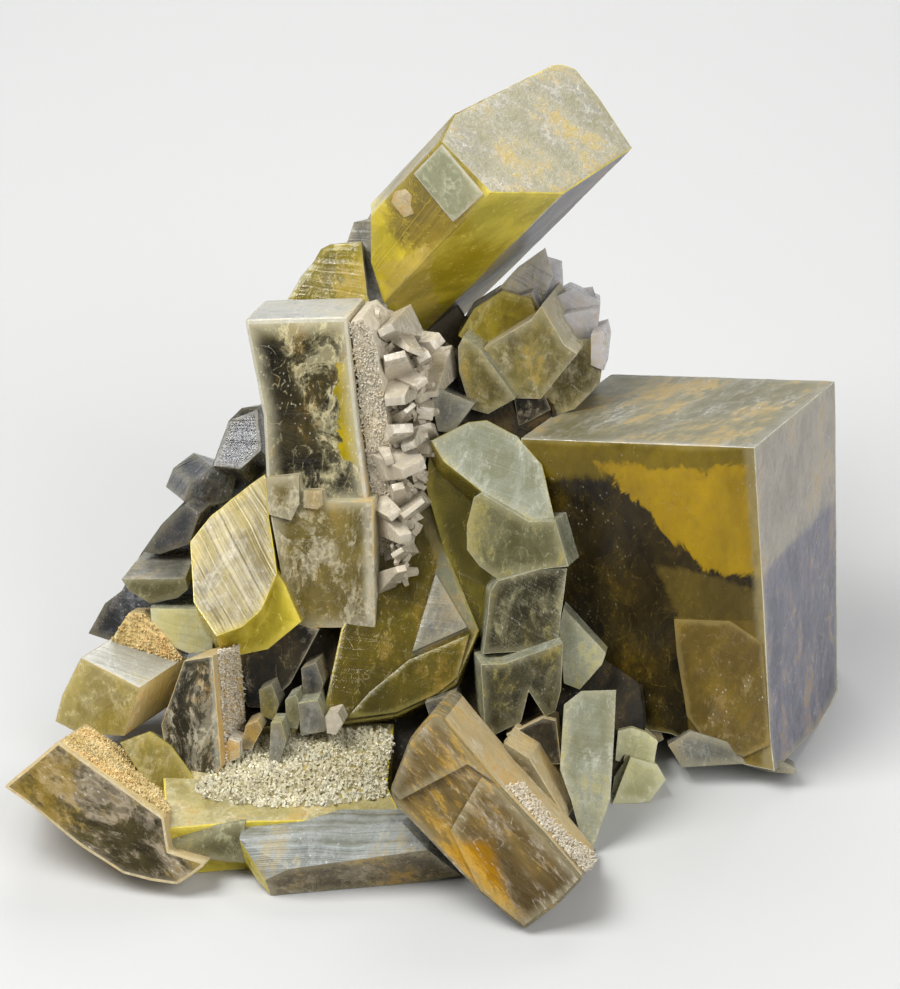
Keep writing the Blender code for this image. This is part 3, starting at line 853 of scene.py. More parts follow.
makeSkin("crownTop", {
    "clear": (0.48, 0.44, 0.32), "deep": (0.34, 0.315, 0.20), "veil": (0.54, 0.52, 0.48), "veilFrom": 0.42,
    "cleave": 0.0, "shine": 0.5, "grainRun": turnToWorld((0.8, 0.5, 0.0)), "stain": (0.54, 0.38, 0.07),
    "stainFrom": 0.49, "stainTo": 0.68, "stainMost": 0.7, "fleckMost": 0.9, "see": 0.0, "roughClear": 0.2,
    "lineTone": 0.0, "pitHeight": 1.0, "seed": 31.0,
})
makeSkin("crownBody", {
    "clear": (0.62, 0.48, 0.05), "deep": (0.40, 0.30, 0.02), "veil": (0.56, 0.46, 0.12), "veilFrom": 0.52,
    "veilTo": 0.80, "veilMost": 0.5, "cleave": 0.7, "shine": 0.1, "rimTint": (0.60, 0.50, 0.16), "rimWidth": 1.4,
    "rimMost": 0.3, "stain": (0.56, 0.36, 0.03), "stainMost": 0.3, "see": 0.75, "roughClear": 0.03,
    "lineRun": turnToWorld((-0.7, 0.7, 0.1)), "lineScale": 0.7, "lineHeight": 0.4, "absorb": (0.96, 0.88, 0.34),
    "density": 70.0, "zones": (crownBright, crownLemonPaintedGlow, crownLowPaintedGlow, crownCrust), "seed": 33.0,
})
# Lower front facet of the crown, which faces down: a brighter base than the body, painted light that makes up for its
# shade
makeSkin("crownFrontPaintedLight", {
    "clear": (0.98, 0.79, 0.08), "deep": (0.66, 0.50, 0.03), "veil": (0.80, 0.66, 0.20), "veilFrom": 0.52,
    "veilTo": 0.80, "veilMost": 0.35, "shine": 0.1, "rimTint": (0.60, 0.50, 0.16), "rimWidth": 1.4, "rimMost": 0.3,
    "stain": (0.56, 0.36, 0.03), "stainMost": 0.4, "roughClear": 0.03, "lineRun": turnToWorld((-0.7, 0.7, 0.1)),
    "lineScale": 0.7, "lineHeight": 0.4, "absorb": (0.96, 0.88, 0.34), "density": 70.0,
    "zones": (crownBright, crownLemonPaintedGlow, crownLowPaintedGlow, crownCrust), "seed": 33.0,
})
makeSkin("crownFlank", {
    "clear": (0.26, 0.255, 0.285), "deep": (0.16, 0.155, 0.165), "veil": (0.30, 0.30, 0.33), "veilFrom": 0.42,
    "cleave": 0.1, "shine": 0.12, "rimTint": (0.34, 0.33, 0.28), "stainMost": 0.35, "see": 0.0, "roughClear": 0.4,
    "lineRun": turnToWorld((-0.7, 0.7, 0.1)), "lineScale": 0.9, "lineHeight": 0.6, "lineTone": 0.25,
    "zones": (flankLow,), "seed": 35.0,
})
addCrystal("crown", crown)
makeSkin("windowFrost", {
    "clear": (0.42, 0.42, 0.25), "deep": (0.32, 0.32, 0.18), "veil": (0.48, 0.48, 0.32), "veilFrom": 0.46,
    "rimTint": (0.50, 0.49, 0.34), "rimWidth": 0.7, "rimMost": 0.8, "stainMost": 0.3, "see": 0.2, "roughClear": 0.12,
    "seed": 37.0,
})
crownPlates = {
    "crownWindow": {
        "side": 0, "outline": ((442, 144), (484, 194), (454, 222), (414, 173)),
        "height": 0.3, "front": "windowFrost", "rim": 0.2, "edge": "paleRim"},
    "crownSpot": {
        "side": 0, "outline": ((394, 192), (405, 189), (412, 196), (411, 206), (414, 214), (404, 218), (397, 210),
                               (391, 202)),
        "height": 0.04, "front": "orangeCream"},
}
for name, plate in crownPlates.items():
    addPlate(name, {"on": crown, **plate})
print("crown done")

# Crystals behind the pillar and under the crown
rearGroup = {
    "rearUpperLeft": {
        "outline": ((287, 330), (287, 299), (300, 276), (312, 262), (320, 248), (330, 243), (362, 240), (368, 295),
                    (385, 340)),
        "near": 2.0, "run": (1.5, -2.0, 12.0), "front": "oliveGlass", "sides": "greyFrost"},
    "rearSliver": {
        "outline": ((345, 245), (353, 221), (367, 218), (373, 207), (380, 255), (390, 318), (358, 312)),
        "near": 6.0, "run": (1.0, -1.5, 10.0), "front": "greyFrost"},
    "rearRidge": {
        "outline": ((482, 348), (530, 320), (541, 305), (565, 345), (578, 354), (541, 400), (516, 399)),
        "near": 3.0, "run": (3.0, 4.0, 14.0), "front": "stainedGlass", "sides": "creamFrost"},
    "rearTable": {
        "outline": ((457, 347), (463, 335), (481, 349), (516, 399), (488, 415), (470, 410), (458, 372)),
        "near": 1.5, "run": (2.0, 3.0, 14.0), "front": "stainedGlass", "sides": "paleFrost"},
    "rearBoxA": {
        "outline": ((531, 275), (547, 255), (563, 260), (564, 290), (548, 330), (528, 312)),
        "near": 13.0, "run": (-1.0, -1.0, 12.0), "front": "lilacFrost"},
    "rearFill": {
        "outline": ((472, 318), (496, 290), (518, 266), (546, 246), (554, 275), (542, 306), (505, 322)),
        "near": 11.0, "run": (-1.0, -1.0, 10.0), "front": "lilacDusk", "sides": "lilacFrost"},
    "rearBoxB": {
        "outline": ((553, 318), (572, 312), (601, 308), (598, 336), (572, 362), (545, 345)),
        "near": 7.0, "run": (-0.6, 3.6, 12.0), "front": "lilacFrost"},
    "rearBoxC": {
        "outline": ((549, 350), (575, 340), (607, 333), (602, 375), (601, 383), (593, 392), (575, 410), (555, 417),
                    (540, 400)),
        "near": 5.0, "run": (0.0, 1.0, 14.0), "front": "stainedGlass", "sides": "greyFrost"},
    "rearDark": {
        "outline": ((512, 392), (541, 385), (552, 410), (530, 422), (518, 427)),
        "near": 4.0, "run": (1.0, 1.0, 12.0), "front": "darkGlass", "sides": "brownDust"},
    "rearYellow": {
        "outline": ((457, 336), (474, 308), (502, 290), (532, 298), (540, 322), (482, 352)),
        "near": 7.0, "run": (0.0, 1.5, 12.0), "front": "lemonDeep", "sides": "oliveGlass"},
    "rearBoxD": {
        "outline": ((548, 300), (570, 289), (601, 303), (600, 312), (574, 322), (556, 326)),
        "near": 9.0, "run": (0.4, 1.6, 10.0), "front": "lilacFrost"},
    "rearBoxE": {
        "outline": ((505, 300), (532, 292), (545, 318), (520, 334), (503, 322)),
        "near": 8.0, "run": (1.0, 2.0, 10.0), "front": "stainedGlass", "sides": "lilacFrost"},
    "rearBoxF": {
        "outline": ((590, 334), (604, 330), (607, 345), (604, 372), (590, 366)),
        "near": 3.5, "run": (1.0, 2.0, 8.0), "front": "lilacFrost"},
    "smallWedge": {
        "outline": ((438, 387), (476, 403), (470, 411), (453, 434), (437, 432), (430, 400)),
        "near": -4.0, "run": (1.0, 1.0, 14.0), "front": "greyFrost"},
}
makeSkin("lemonDeep", {
    "clear": (0.60, 0.48, 0.03), "deep": (0.26, 0.19, 0.012), "veil": (0.42, 0.36, 0.14), "veilFrom": 0.5,
    "rimTint": (0.46, 0.40, 0.18), "see": 0.45, "seed": 42.0,
})
makeSkin("lilacDusk", {
    "clear": (0.26, 0.235, 0.20), "deep": (0.15, 0.13, 0.085), "veil": (0.32, 0.30, 0.30),
    "stain": (0.36, 0.27, 0.06), "stainMost": 0.6, "see": 0.0, "seed": 44.0,
})
makeSkin("stainedGlass", {
    "clear": (0.34, 0.28, 0.08), "deep": (0.15, 0.115, 0.03), "veil": (0.36, 0.32, 0.19), "veilFrom": 0.42,
    "veilTo": 0.66, "veilScale": 0.3, "rimTint": (0.48, 0.44, 0.30), "stain": (0.42, 0.27, 0.03), "stainMost": 0.6,
    "roughClear": 0.12, "seed": 41.0,
})
for name, shape in rearGroup.items():
    addCrystal(name, {"rim": 0.16, "fineness": 1.2, **shape})
print("rear group done")

# Pale blade in the middle, with its ledge, tooth, slab and rosette below
middleGroup = {
    "bladeMid": {
        "outline": ((529, 521), (556, 520), (569, 567), (535, 571), (497, 580), (479, 567), (466, 550), (466, 525),
                    (473, 497), (481, 492)),
        "near": -9.5, "run": (3.0, 2.0, 12.0), "front": "bladeLens", "sides": "paleFrost"},
    "bladeTop": {
        "outline": ((518, 513), (481, 492), (443, 462), (430, 440), (468, 421), (487, 419), (518, 435), (543, 464),
                    (556, 519), (530, 524)),
        "near": -8.0, "run": (-2.5, -5.0, 14.0), "front": "paleFrost", "sides": "oliveGlass"},
    "bladeBody": {
        "outline": ((497, 580), (540, 568), (568, 568), (563, 607), (558, 650), (482, 655), (487, 617), (489, 592)),
        "near": -9.0, "run": (-1.0, 1.5, 15.0), "front": "bladeDark", "sides": "paleFrost"},
    "bladeLeft": {
        "outline": ((430, 440), (500, 480), (500, 600), (486, 648), (458, 600), (425, 487)),
        "near": -3.5, "run": (-0.5, 0.5, 16.0), "front": "oliveGlass"},
    "ledge": {
        "outline": ((504, 663), (564, 642), (562, 690), (556, 712), (545, 718), (529, 693), (522, 723), (491, 738),
                    (484, 725), (480, 664)),
        "near": -11.5, "run": (-1.6, 2.6, 14.0), "front": "bladeDark", "sides": "paleFrost"},
    "tooth": {
        "outline": ((563, 607), (607, 653), (603, 665), (580, 691), (563, 684), (558, 630)),
        "near": -6.0, "run": (1.0, 1.5, 12.0), "front": "paleFrost"},
    "slab": {
        "outline": ((563, 704), (581, 690), (617, 689), (611, 800), (597, 840), (590, 853), (583, 850), (570, 800),
                    (559, 770)),
        "near": -17.0, "run": (0.6, 0.4, 10.0), "taper": 0.9, "front": "paleFrost"},
    "rosetteA": {
        "outline": ((617, 730), (632, 727), (647, 732), (659, 741), (655, 764), (640, 790), (611, 800)),
        "near": -5.0, "run": (0.3, 1.2, 10.0), "taper": 0.85, "front": "paleLemon"},
    "rosetteB": {
        "outline": ((630, 756), (658, 764), (667, 780), (651, 802), (624, 805), (611, 806)),
        "near": -7.0, "run": (-0.4, 1.4, 10.0), "taper": 0.85, "front": "paleLemon"},
    "rosetteC": {
        "outline": ((624, 700), (643, 705), (659, 722), (665, 740), (648, 750), (625, 735)),
        "near": 0.0, "run": (0.5, 0.5, 10.0), "front": "brownDust", "sides": "greyFrost"},
}
makeSkin("bladeLens", {
    "clear": (0.34, 0.32, 0.16), "deep": (0.20, 0.18, 0.07), "veil": (0.38, 0.38, 0.22), "veilFrom": 0.45,
    "stain": (0.46, 0.34, 0.04), "stainMost": 0.4, "see": 0.65, "seed": 43.0,
})
makeSkin("bladeDark", {
    "clear": (0.125, 0.11, 0.045), "deep": (0.045, 0.038, 0.014), "veil": (0.27, 0.25, 0.13), "veilFrom": 0.46,
    "stain": (0.38, 0.29, 0.03), "stainMost": 0.45, "see": 0.6, "roughClear": 0.07, "seed": 45.0,
})
makeSkin("paleLemon", {
    "clear": (0.60, 0.58, 0.32), "deep": (0.44, 0.42, 0.20), "veil": (0.68, 0.67, 0.50), "veilFrom": 0.45,
    "rimTint": (0.66, 0.65, 0.46), "stain": (0.58, 0.48, 0.10), "stainMost": 0.4, "see": 0.25, "roughClear": 0.2,
    "seed": 47.0,
})
for name, shape in middleGroup.items():
    addCrystal(name, {"rim": 0.18, "fineness": 1.2, **shape})
print("middle group done")

# Shield under the pillar, and the front block that points at the viewer
shield = {
    "outline": ((425, 487), (447, 551), (480, 630), (457, 684), (438, 698), (397, 717), (341, 725), (328, 719),
                (324, 703), (340, 629), (382, 540)),
    "near": -1.0, "run": (1.2, -2.4, 13.0), "front": "shieldFace", "sides": "oliveGlass", "rim": 0.4,
}
shieldGrey = {
    "planes": (zonePlane(shield, (436, 571), (412, 656), (450, 640)),
               zonePlane(shield, (412, 656), (470, 629), (440, 600)),),
    "colour": (0.19, 0.20, 0.14), "most": 0.9, "see": 0.15, "soft": 0.2, "wobble": 0.5,
}
shieldStrip = {
    "planes": (zonePlane(shield, (424, 530), (470, 629), (480, 600)),),
    "colour": (0.26, 0.21, 0.09), "most": 0.85, "see": 0.2, "soft": 0.3, "wobble": 2.0,
}
shieldLow = {
    "planes": (zonePlane(shield, (412, 656), (341, 719), (420, 710)),),
    "colour": (0.10, 0.08, 0.012), "most": 0.7, "see": 0.4, "soft": 0.3, "wobble": 1.0,
}
makeSkin("shieldFace", {
    "clear": (0.28, 0.21, 0.015), "deep": (0.13, 0.095, 0.008), "veil": (0.30, 0.25, 0.08), "veilFrom": 0.52,
    "veilTo": 0.82, "veilMost": 0.35, "shine": 0.12, "rimTint": (0.34, 0.30, 0.10), "rimWidth": 0.9,
    "stainMost": 0.25, "fleckMost": 0.2, "see": 0.65, "zones": (shieldLow, shieldStrip, shieldGrey), "seed": 51.0,
})
addCrystal("shield", shield)
shieldPlates = {
    "shieldWedge": {"outline": ((436, 573), (468, 628), (412, 653)), "height": 0.6, "front": "greyFrost"},
    "shieldApron": {"outline": ((409, 660), (470, 634), (458, 678), (438, 694), (397, 713), (345, 720), (370, 692)),
                    "height": 0.5, "front": "shieldFace"},
}
for name, plate in shieldPlates.items():
    addPlate(name, {"on": shield, "rim": 0.2, **plate})
frontBlock = {
    "outline": ((442, 716), (500, 785), (545, 833), (584, 879), (561, 903), (525, 931), (518, 927), (477, 892),
                (411, 823), (393, 804), (389, 789), (409, 738), (432, 712)),
    "near": -33.5, "run": (2.4, 2.2, 16.0), "front": "frontFace", "sides": "brownDust",
    "facets": {0: "orangeCream", 1: "orangeCream", 2: "orangeCream"}, "rim": 0.5,
}
orangeGlow = {
    "planes": (zonePlane(frontBlock, (445, 846), (492, 838), (470, 870)),
               zonePlane(frontBlock, (440, 860), (500, 895), (480, 850)),
               zonePlane(frontBlock, (492, 838), (505, 890), (470, 860))),
    "colour": (0.42, 0.20, 0.0), "most": 1.0, "see": 0.3, "soft": 1.0, "wobble": 5.0,
}
makeSkin("frontFace", {
    "clear": (0.26, 0.175, 0.055), "deep": (0.10, 0.064, 0.018), "veil": (0.56, 0.50, 0.40), "veilFrom": 0.46,
    "veilTo": 0.68, "veilScale": 0.2, "veilMost": 0.6, "grainRun": turnToWorld((0.66, -0.75, 0.0)), "stretch": 0.3,
    "stain": (0.52, 0.29, 0.015), "stainMost": 0.6, "see": 0.4, "roughClear": 0.13,
    "lineRun": turnToWorld((0.66, 0.75, 0.0)), "zones": (orangeGlow,), "windows": (orangeGlow,), "seed": 55.0,
})
addCrystal("frontBlock", frontBlock)
frontPlates = {
    "frontUpperPlate": {
        "outline": ((433, 716), (442, 718), (496, 783), (468, 764), (400, 800), (392, 790), (411, 740)),
        "height": 0.5, "front": "frontFace"},
    "frontLowerPlate": {
        "outline": ((482, 776), (500, 790), (580, 878), (560, 899), (524, 926), (480, 890), (450, 830)),
        "height": 0.35, "front": "frontFace"},
}
for name, plate in frontPlates.items():
    addPlate(name, {"on": frontBlock, "rim": 0.2, **plate})
smallFront = {
    "frontChip": {
        "outline": ((503, 741), (530, 758), (563, 812), (566, 822), (540, 800), (500, 766)),
        "near": -19.0, "run": (2.0, 2.0, 10.0), "front": "brownDust", "sides": "orangeCream"},
    "rimStrip": {
        "outline": ((543, 717), (557, 720), (562, 765), (551, 765), (520, 744), (505, 735)),
        "near": -12.0, "run": (0.6, 0.6, 10.0), "front": "darkGlass", "sides": "orangeCream"},
    "blueBit": {
        "outline": ((424, 702), (456, 692), (461, 712), (459, 722), (430, 722)),
        "near": -9.0, "run": (0.6, 1.4, 10.0), "front": "greyGlass", "sides": "greyFrost"},
}
for name, shape in smallFront.items():
    addCrystal(name, {"rim": 0.18, "fineness": 1.2, **shape})
print("shield and front block done")

# Left side: striated reflecting crystal, dark glassy broken crystal, cube, post, prow
leftGroup = {
    "striated": {
        "outline": ((278, 573), (262, 610), (243, 627), (216, 637), (193, 602), (189, 541), (210, 515), (245, 487),
                    (266, 472), (270, 520)),
        "near": -7.0, "run": (0.8, -4.6, 10.0), "front": "striatedFace", "sides": "lemonGlassPaintedGlow"},
    "lemonRim": {
        "outline": ((268, 558), (286, 585), (302, 622), (268, 650), (236, 657), (214, 642), (243, 627), (262, 610)),
        "near": -6.2, "run": (0.5, 0.5, 8.0), "front": "lemonGlassPaintedGlow"},
    "glassyRear": {
        "outline": ((258, 405), (264, 430), (268, 480), (262, 560), (225, 615), (185, 645), (120, 645), (87, 634),
                    (104, 603), (121, 590), (140, 553), (161, 523), (183, 501), (191, 480), (212, 463), (228, 420),
                    (241, 407)),
        "near": 3.0, "run": (3.0, 1.0, 14.0), "front": "greyGlass"},
    "shardA": {
        "outline": ((228, 420), (258, 408), (262, 450), (240, 470), (212, 466)),
        "near": 1.6, "run": (2.0, -3.0, 8.0), "front": "greyGlass"},
    "shardB": {
        "outline": ((191, 482), (212, 466), (238, 474), (232, 500), (200, 512), (183, 502)),
        "near": 1.0, "run": (-3.0, 2.0, 8.0), "front": "greyGlass"},
    "shardC": {
        "outline": ((161, 525), (184, 504), (200, 514), (190, 545), (160, 555), (142, 553)),
        "near": 1.4, "run": (3.0, 3.0, 8.0), "front": "greyGlass"},
    "smallA": {
        "outline": ((120, 579), (186, 578), (189, 590), (178, 599), (150, 605), (128, 592)),
        "near": -1.0, "run": (1.6, 4.2, 9.0), "taper": 0.8, "front": "bladeLens", "sides": "greyFrost"},
    "smallB": {
        "outline": ((149, 607), (217, 608), (213, 652), (190, 655), (165, 645), (150, 625)),
        "near": -2.0, "run": (0.5, 1.6, 10.0), "front": "paleLemon", "sides": "paleFrost"},
    "stainPatch": {
        "outline": ((110, 640), (128, 612), (142, 612), (165, 634), (184, 659), (150, 670)),
        "near": -1.5, "run": (0.5, 0.5, 8.0), "front": "paleOrange"},
    "cube": {
        "outline": ((140, 688), (125, 737), (81, 736), (54, 722), (61, 695), (80, 657)),
        "near": -10.0, "run": (5.66, 3.8, 9.8), "front": "cubeFace", "sides": "orangeCream",
        "facets": {5: "cubeTop", 0: "cubeSidePaintedLight"}},
    "shelfLeft": {
        "outline": ((118, 742), (150, 730), (172, 745), (190, 770), (200, 786), (180, 806), (160, 812), (140, 775)),
        "near": -13.0, "run": (0.5, -1.0, 10.0), "front": "cubeYellow", "sides": "oliveGlass"},
    "post": {
        "outline": ((213, 655), (216, 690), (222, 766), (215, 777), (191, 781), (174, 765), (162, 738), (160, 725),
                    (183, 660)),
        "near": -15.0, "run": (3.0, 1.2, 10.0), "front": "postFace", "sides": "orangeCream"},
    "darkBlade": {
        "outline": ((320, 629), (291, 684), (264, 709), (247, 708), (240, 690), (240, 655), (297, 622)),
        "near": -4.0, "run": (0.5, 0.5, 12.0), "front": "darkGlass", "sides": "greyFrost"},
    "prow": {
        "outline": ((165, 817), (170, 850), (208, 862), (203, 868), (190, 878), (177, 886), (150, 882), (122, 875),
                    (78, 846), (25, 803), (2, 787), (58, 740)),
        "near": -26.0, "run": (1.8, 1.2, 20.0), "front": "prowFace", "sides": "orangeCream", "rim": 0.5,
        "facets": {11: "paleOrange"}},
}
postStrip = {
    "planes": (zonePlane(leftGroup["post"], (209, 655), (215, 780), (220, 720)),),
    "colour": (0.36, 0.36, 0.28), "most": 0.9, "see": 0.2, "soft": 0.3, "wobble": 0.6,
}
makeSkin("postFace", {
    "clear": (0.10, 0.085, 0.045), "deep": (0.028, 0.024, 0.014), "veil": (0.38, 0.34, 0.24), "veilFrom": 0.47,
    "veilTo": 0.60, "veilScale": 0.24, "veilMost": 0.9, "wisp": 0.3, "rimTint": (0.30, 0.28, 0.20), "rimWidth": 0.7,
    "see": 0.4, "roughClear": 0.06, "zones": (postStrip,), "seed": 66.0,
})
makeSkin("prowFace", {
    "clear": (0.12, 0.095, 0.032), "deep": (0.032, 0.024, 0.009), "veil": (0.44, 0.36, 0.25), "veilTo": 0.6,
    "veilScale": 0.18, "veilMost": 0.6, "wisp": 0.3, "grainRun": turnToWorld((0.75, -0.6, 0.0)), "stretch": 0.5,
    "rimTint": (0.38, 0.36, 0.28), "rimWidth": 1.1, "rimMost": 0.35, "stain": (0.46, 0.28, 0.015), "stainMost": 0.4,
    "see": 0.4, "seed": 67.0,
})
makeSkin("striatedFace", {
    "clear": (0.40, 0.33, 0.14), "deep": (0.16, 0.12, 0.035), "veil": (0.44, 0.40, 0.30), "veilFrom": 0.48,
    "shine": 0.5, "rimTint": (0.60, 0.48, 0.12), "stain": (0.46, 0.33, 0.05), "see": 0.0, "roughClear": 0.06,
    "lineRun": turnToWorld((0.85, 0.5, 0.0)), "lineScale": 2.0, "lineHeight": 1.0, "lineTone": 0.55, "seed": 61.0,
})
makeSkin("cubeTop", {
    "clear": (0.37, 0.37, 0.32), "deep": (0.28, 0.27, 0.21), "veil": (0.48, 0.48, 0.44), "cleave": 0.0, "shine": 0.5,
    "rimTint": (0.52, 0.51, 0.44), "stain": (0.46, 0.36, 0.10), "stainMost": 0.4, "see": 0.0, "roughClear": 0.22,
    "seed": 63.0,
})
# Right side of the cube, which faces away from the lamps: near-white cream, painted light for the glow through the
# crystal
makeSkin("cubeSidePaintedLight", {
    "clear": (0.98, 0.88, 0.50), "deep": (0.86, 0.70, 0.28), "veil": (0.98, 0.90, 0.62), "rimMost": 0.0,
    "stain": (0.85, 0.42, 0.06), "stainMost": 0.7, "see": 0.0, "roughClear": 0.2, "seed": 64.0,
})
makeSkin("cubeFace", {
    "clear": (0.62, 0.50, 0.13), "deep": (0.38, 0.29, 0.05), "veil": (0.62, 0.55, 0.32), "veilFrom": 0.46,
    "veilScale": 0.24, "rimTint": (0.66, 0.60, 0.32), "rimWidth": 1.0, "stain": (0.54, 0.34, 0.03), "see": 0.4,
    "roughClear": 0.12, "seed": 62.0,
})
makeSkin("cubeYellow", {
    "clear": (0.44, 0.35, 0.07), "deep": (0.26, 0.20, 0.03), "veil": (0.40, 0.34, 0.17), "veilFrom": 0.43,
    "rimTint": (0.55, 0.48, 0.18), "stain": (0.42, 0.28, 0.02), "stainMost": 0.6, "roughClear": 0.16, "seed": 65.0,
})
for name, shape in leftGroup.items():
    addCrystal(name, {"rim": 0.2, "fineness": 1.3, **shape})
print("left group done")

# Shelf with its keel, and the crystals standing on it
shelf = {
    "outline": ((401, 812), (388, 785), (395, 722), (300, 720), (160, 740), (165, 829), (250, 822), (300, 821)),
    "near": -20.5, "run": (0.0, -8.66, 5.0), "front": "shelfTop", "sides": "lemonGlassPaintedGlow", "rim": 0.4,
}
makeSkin("shelfTop", {
    "clear": (0.40, 0.34, 0.13), "deep": (0.27, 0.22, 0.07), "veil": (0.50, 0.46, 0.29), "veilFrom": 0.40, "see": 0.0,
    "roughClear": 0.25, "seed": 71.0,
})
# Upward faces of the keel: a silvery grey that is a painted reflection; its stains and striations are its own
makeSkin("keelPaintedSheen", {
    "clear": (0.30, 0.32, 0.30), "deep": (0.14, 0.145, 0.11), "veil": (0.26, 0.27, 0.26), "veilFrom": 0.42,
    "shine": 0.35, "rimTint": (0.32, 0.33, 0.31), "stain": (0.40, 0.27, 0.04), "stainMost": 0.4, "see": 0.0,
    "roughClear": 0.15, "lineRun": turnToWorld((0.0, 1.0, 0.2)), "lineHeight": 1.0, "lineTone": 0.7, "seed": 73.0,
})
addCrystal("shelf", shelf)
shelfChips = {
    "shelfChipA": {"outline": ((297, 703), (318, 700), (327, 722), (326, 732), (300, 737)),
                   "near": -9.0, "run": (0.5, 1.5, 6.0), "front": "greyFrost", "sides": "paleFrost"},
    "shelfChipB": {"outline": ((270, 722), (282, 722), (287, 740), (280, 764), (268, 763)),
                   "near": -12.0, "run": (0.5, 1.0, 5.0), "front": "greyFrost", "sides": "paleFrost"},
    "shelfChipD": {"outline": ((300, 668), (316, 662), (324, 684), (318, 702), (303, 700)),
                   "near": -6.0, "run": (0.8, 1.2, 6.0), "front": "greyGlass", "sides": "greyFrost"},
    "shelfChipE": {"outline": ((284, 700), (296, 694), (302, 712), (298, 730), (286, 728)),
                   "near": -8.5, "run": (0.8, 1.2, 5.0), "front": "bladeLens", "sides": "paleFrost"},
    "shelfChipF": {"outline": ((258, 690), (272, 684), (280, 704), (274, 722), (260, 716)),
                   "near": -7.5, "run": (0.6, 1.0, 5.0), "front": "bladeDark", "sides": "greyFrost"},
    "shelfChipG": {"outline": ((324, 716), (338, 712), (344, 724), (336, 736), (326, 734)),
                   "near": -10.5, "run": (0.6, 1.0, 4.0), "front": "druseWhite"},
    "shelfChipH": {"outline": ((228, 738), (240, 742), (240, 758), (228, 764), (222, 752)),
                   "near": -12.5, "run": (0.6, 1.0, 4.0), "front": "orangeCream", "sides": "crust"},
    "shelfChipC": {"outline": ((245, 725), (258, 720), (263, 730), (252, 750), (240, 750)),
                   "near": -11.0, "run": (0.5, 1.0, 6.0), "front": "brownDust", "sides": "orangeCream"},
}
for name, shape in shelfChips.items():
    addCrystal(name, {"rim": 0.15, "fineness": 1.0, **shape})

keel = {
    "points": ((239, 839, -25.0), (300, 833, -25.2), (402, 822, -25.0), (428, 850, -26.5), (289, 869, -27.0),
               (265, 880, -25.5), (462, 876, -21.0), (425, 882, -21.2), (340, 881, -22.6), (300, 893, -23.4),
               (271, 896, -23.7), (256, 879, -23.0), (245, 862, -22.0), (250, 790, -12.0), (440, 790, -12.0)),
    "skin": "keelPaintedSheen", "leftSkin": "lemonGlassPaintedGlow", "lowSkin": "brownDust", "rim": 0.3,
}
keelTail = {
    "points": ((169, 848, -23.0), (178, 856, -22.5), (209, 860, -22.0), (245, 864, -22.0), (165, 829, -22.5),
               (245, 822, -23.0), (200, 800, -14.0), (260, 800, -14.0)),
    "skin": "bladeLens", "leftSkin": "bladeLens", "lowSkin": "bladeLens", "rim": 0.2,
}


hullFinish = {"flatAngle": 4.0, "leftward": -0.45, "upward": 0.05, "fineness": 0.0014, "wave": 0.00006}


def addHull(name, shape):
    data = bmesh.new()
    for px, py, depth in shape["points"]:
        data.verts.new(toWorld(onSightLine(px, py, depth)))
    made = bmesh.ops.convex_hull(data, input=data.verts[:])
    loose = [item for item in made["geom_interior"] if isinstance(item, bmesh.types.BMVert)]
    bmesh.ops.delete(data, geom=loose, context="VERTS")
    cutAway(data, Vector((0.0, 0.0, finish["floorCut"])), Vector((0.0, 0.0, -1.0)), 0)
    flat = math.radians(hullFinish["flatAngle"])
    bmesh.ops.dissolve_limit(data, angle_limit=flat, verts=data.verts[:], edges=data.edges[:])
    bmesh.ops.recalc_face_normals(data, faces=data.faces[:])
    for face in data.faces:
        if face.normal.x < hullFinish["leftward"]:
            face.material_index = 1
        else:
            face.material_index = 3 if face.normal.z < hullFinish["upward"] else 0
    segments = sharpSegments(data)
    softenEdges(data, shape["rim"] * 0.001)
    smoothOut(data, hullFinish["fineness"], hullFinish["wave"], len(name) * 2.3)
    slots = [shape["skin"], shape["leftSkin"], shape["skin"], shape["lowSkin"]]
    return finishPiece(name, data, [skins[slot] for slot in slots], segments)


addHull("keel", keel)
addHull("keelTail", keelTail)
print("shelf and keel done")

# Root between and behind the crystals: rough, painted near-black as the shade of the recesses, lighter at the back,
# seen only in the recesses and from behind
rootMass = {
    "rootLow": {
        "outline": ((300, 850), (190, 835), (172, 760), (188, 690), (215, 600), (262, 500), (330, 480), (560, 540),
                    (640, 560), (650, 735), (600, 800), (500, 850)),
        "near": -9.0, "run": (0.0, -10.0, 30.0), "taper": 0.85},
    "rootHigh": {
        "outline": ((310, 330), (385, 300), (460, 345), (560, 400), (560, 620), (300, 620)),
        "near": 6.0, "run": (1.0, -2.0, 22.0), "taper": 0.8},
    "rootNeck": {
        "outline": ((395, 270), (440, 265), (462, 300), (480, 330), (540, 400), (400, 400), (385, 320)),
        "near": 20.0, "run": (0.0, -3.0, 16.0), "taper": 0.9},
}
for name, shape in rootMass.items():
    addCrystal(name, {"rim": 0.6, "fineness": 1.5, "wave": 0.9, "front": "rootPaintedShade", **shape})
print("root done")

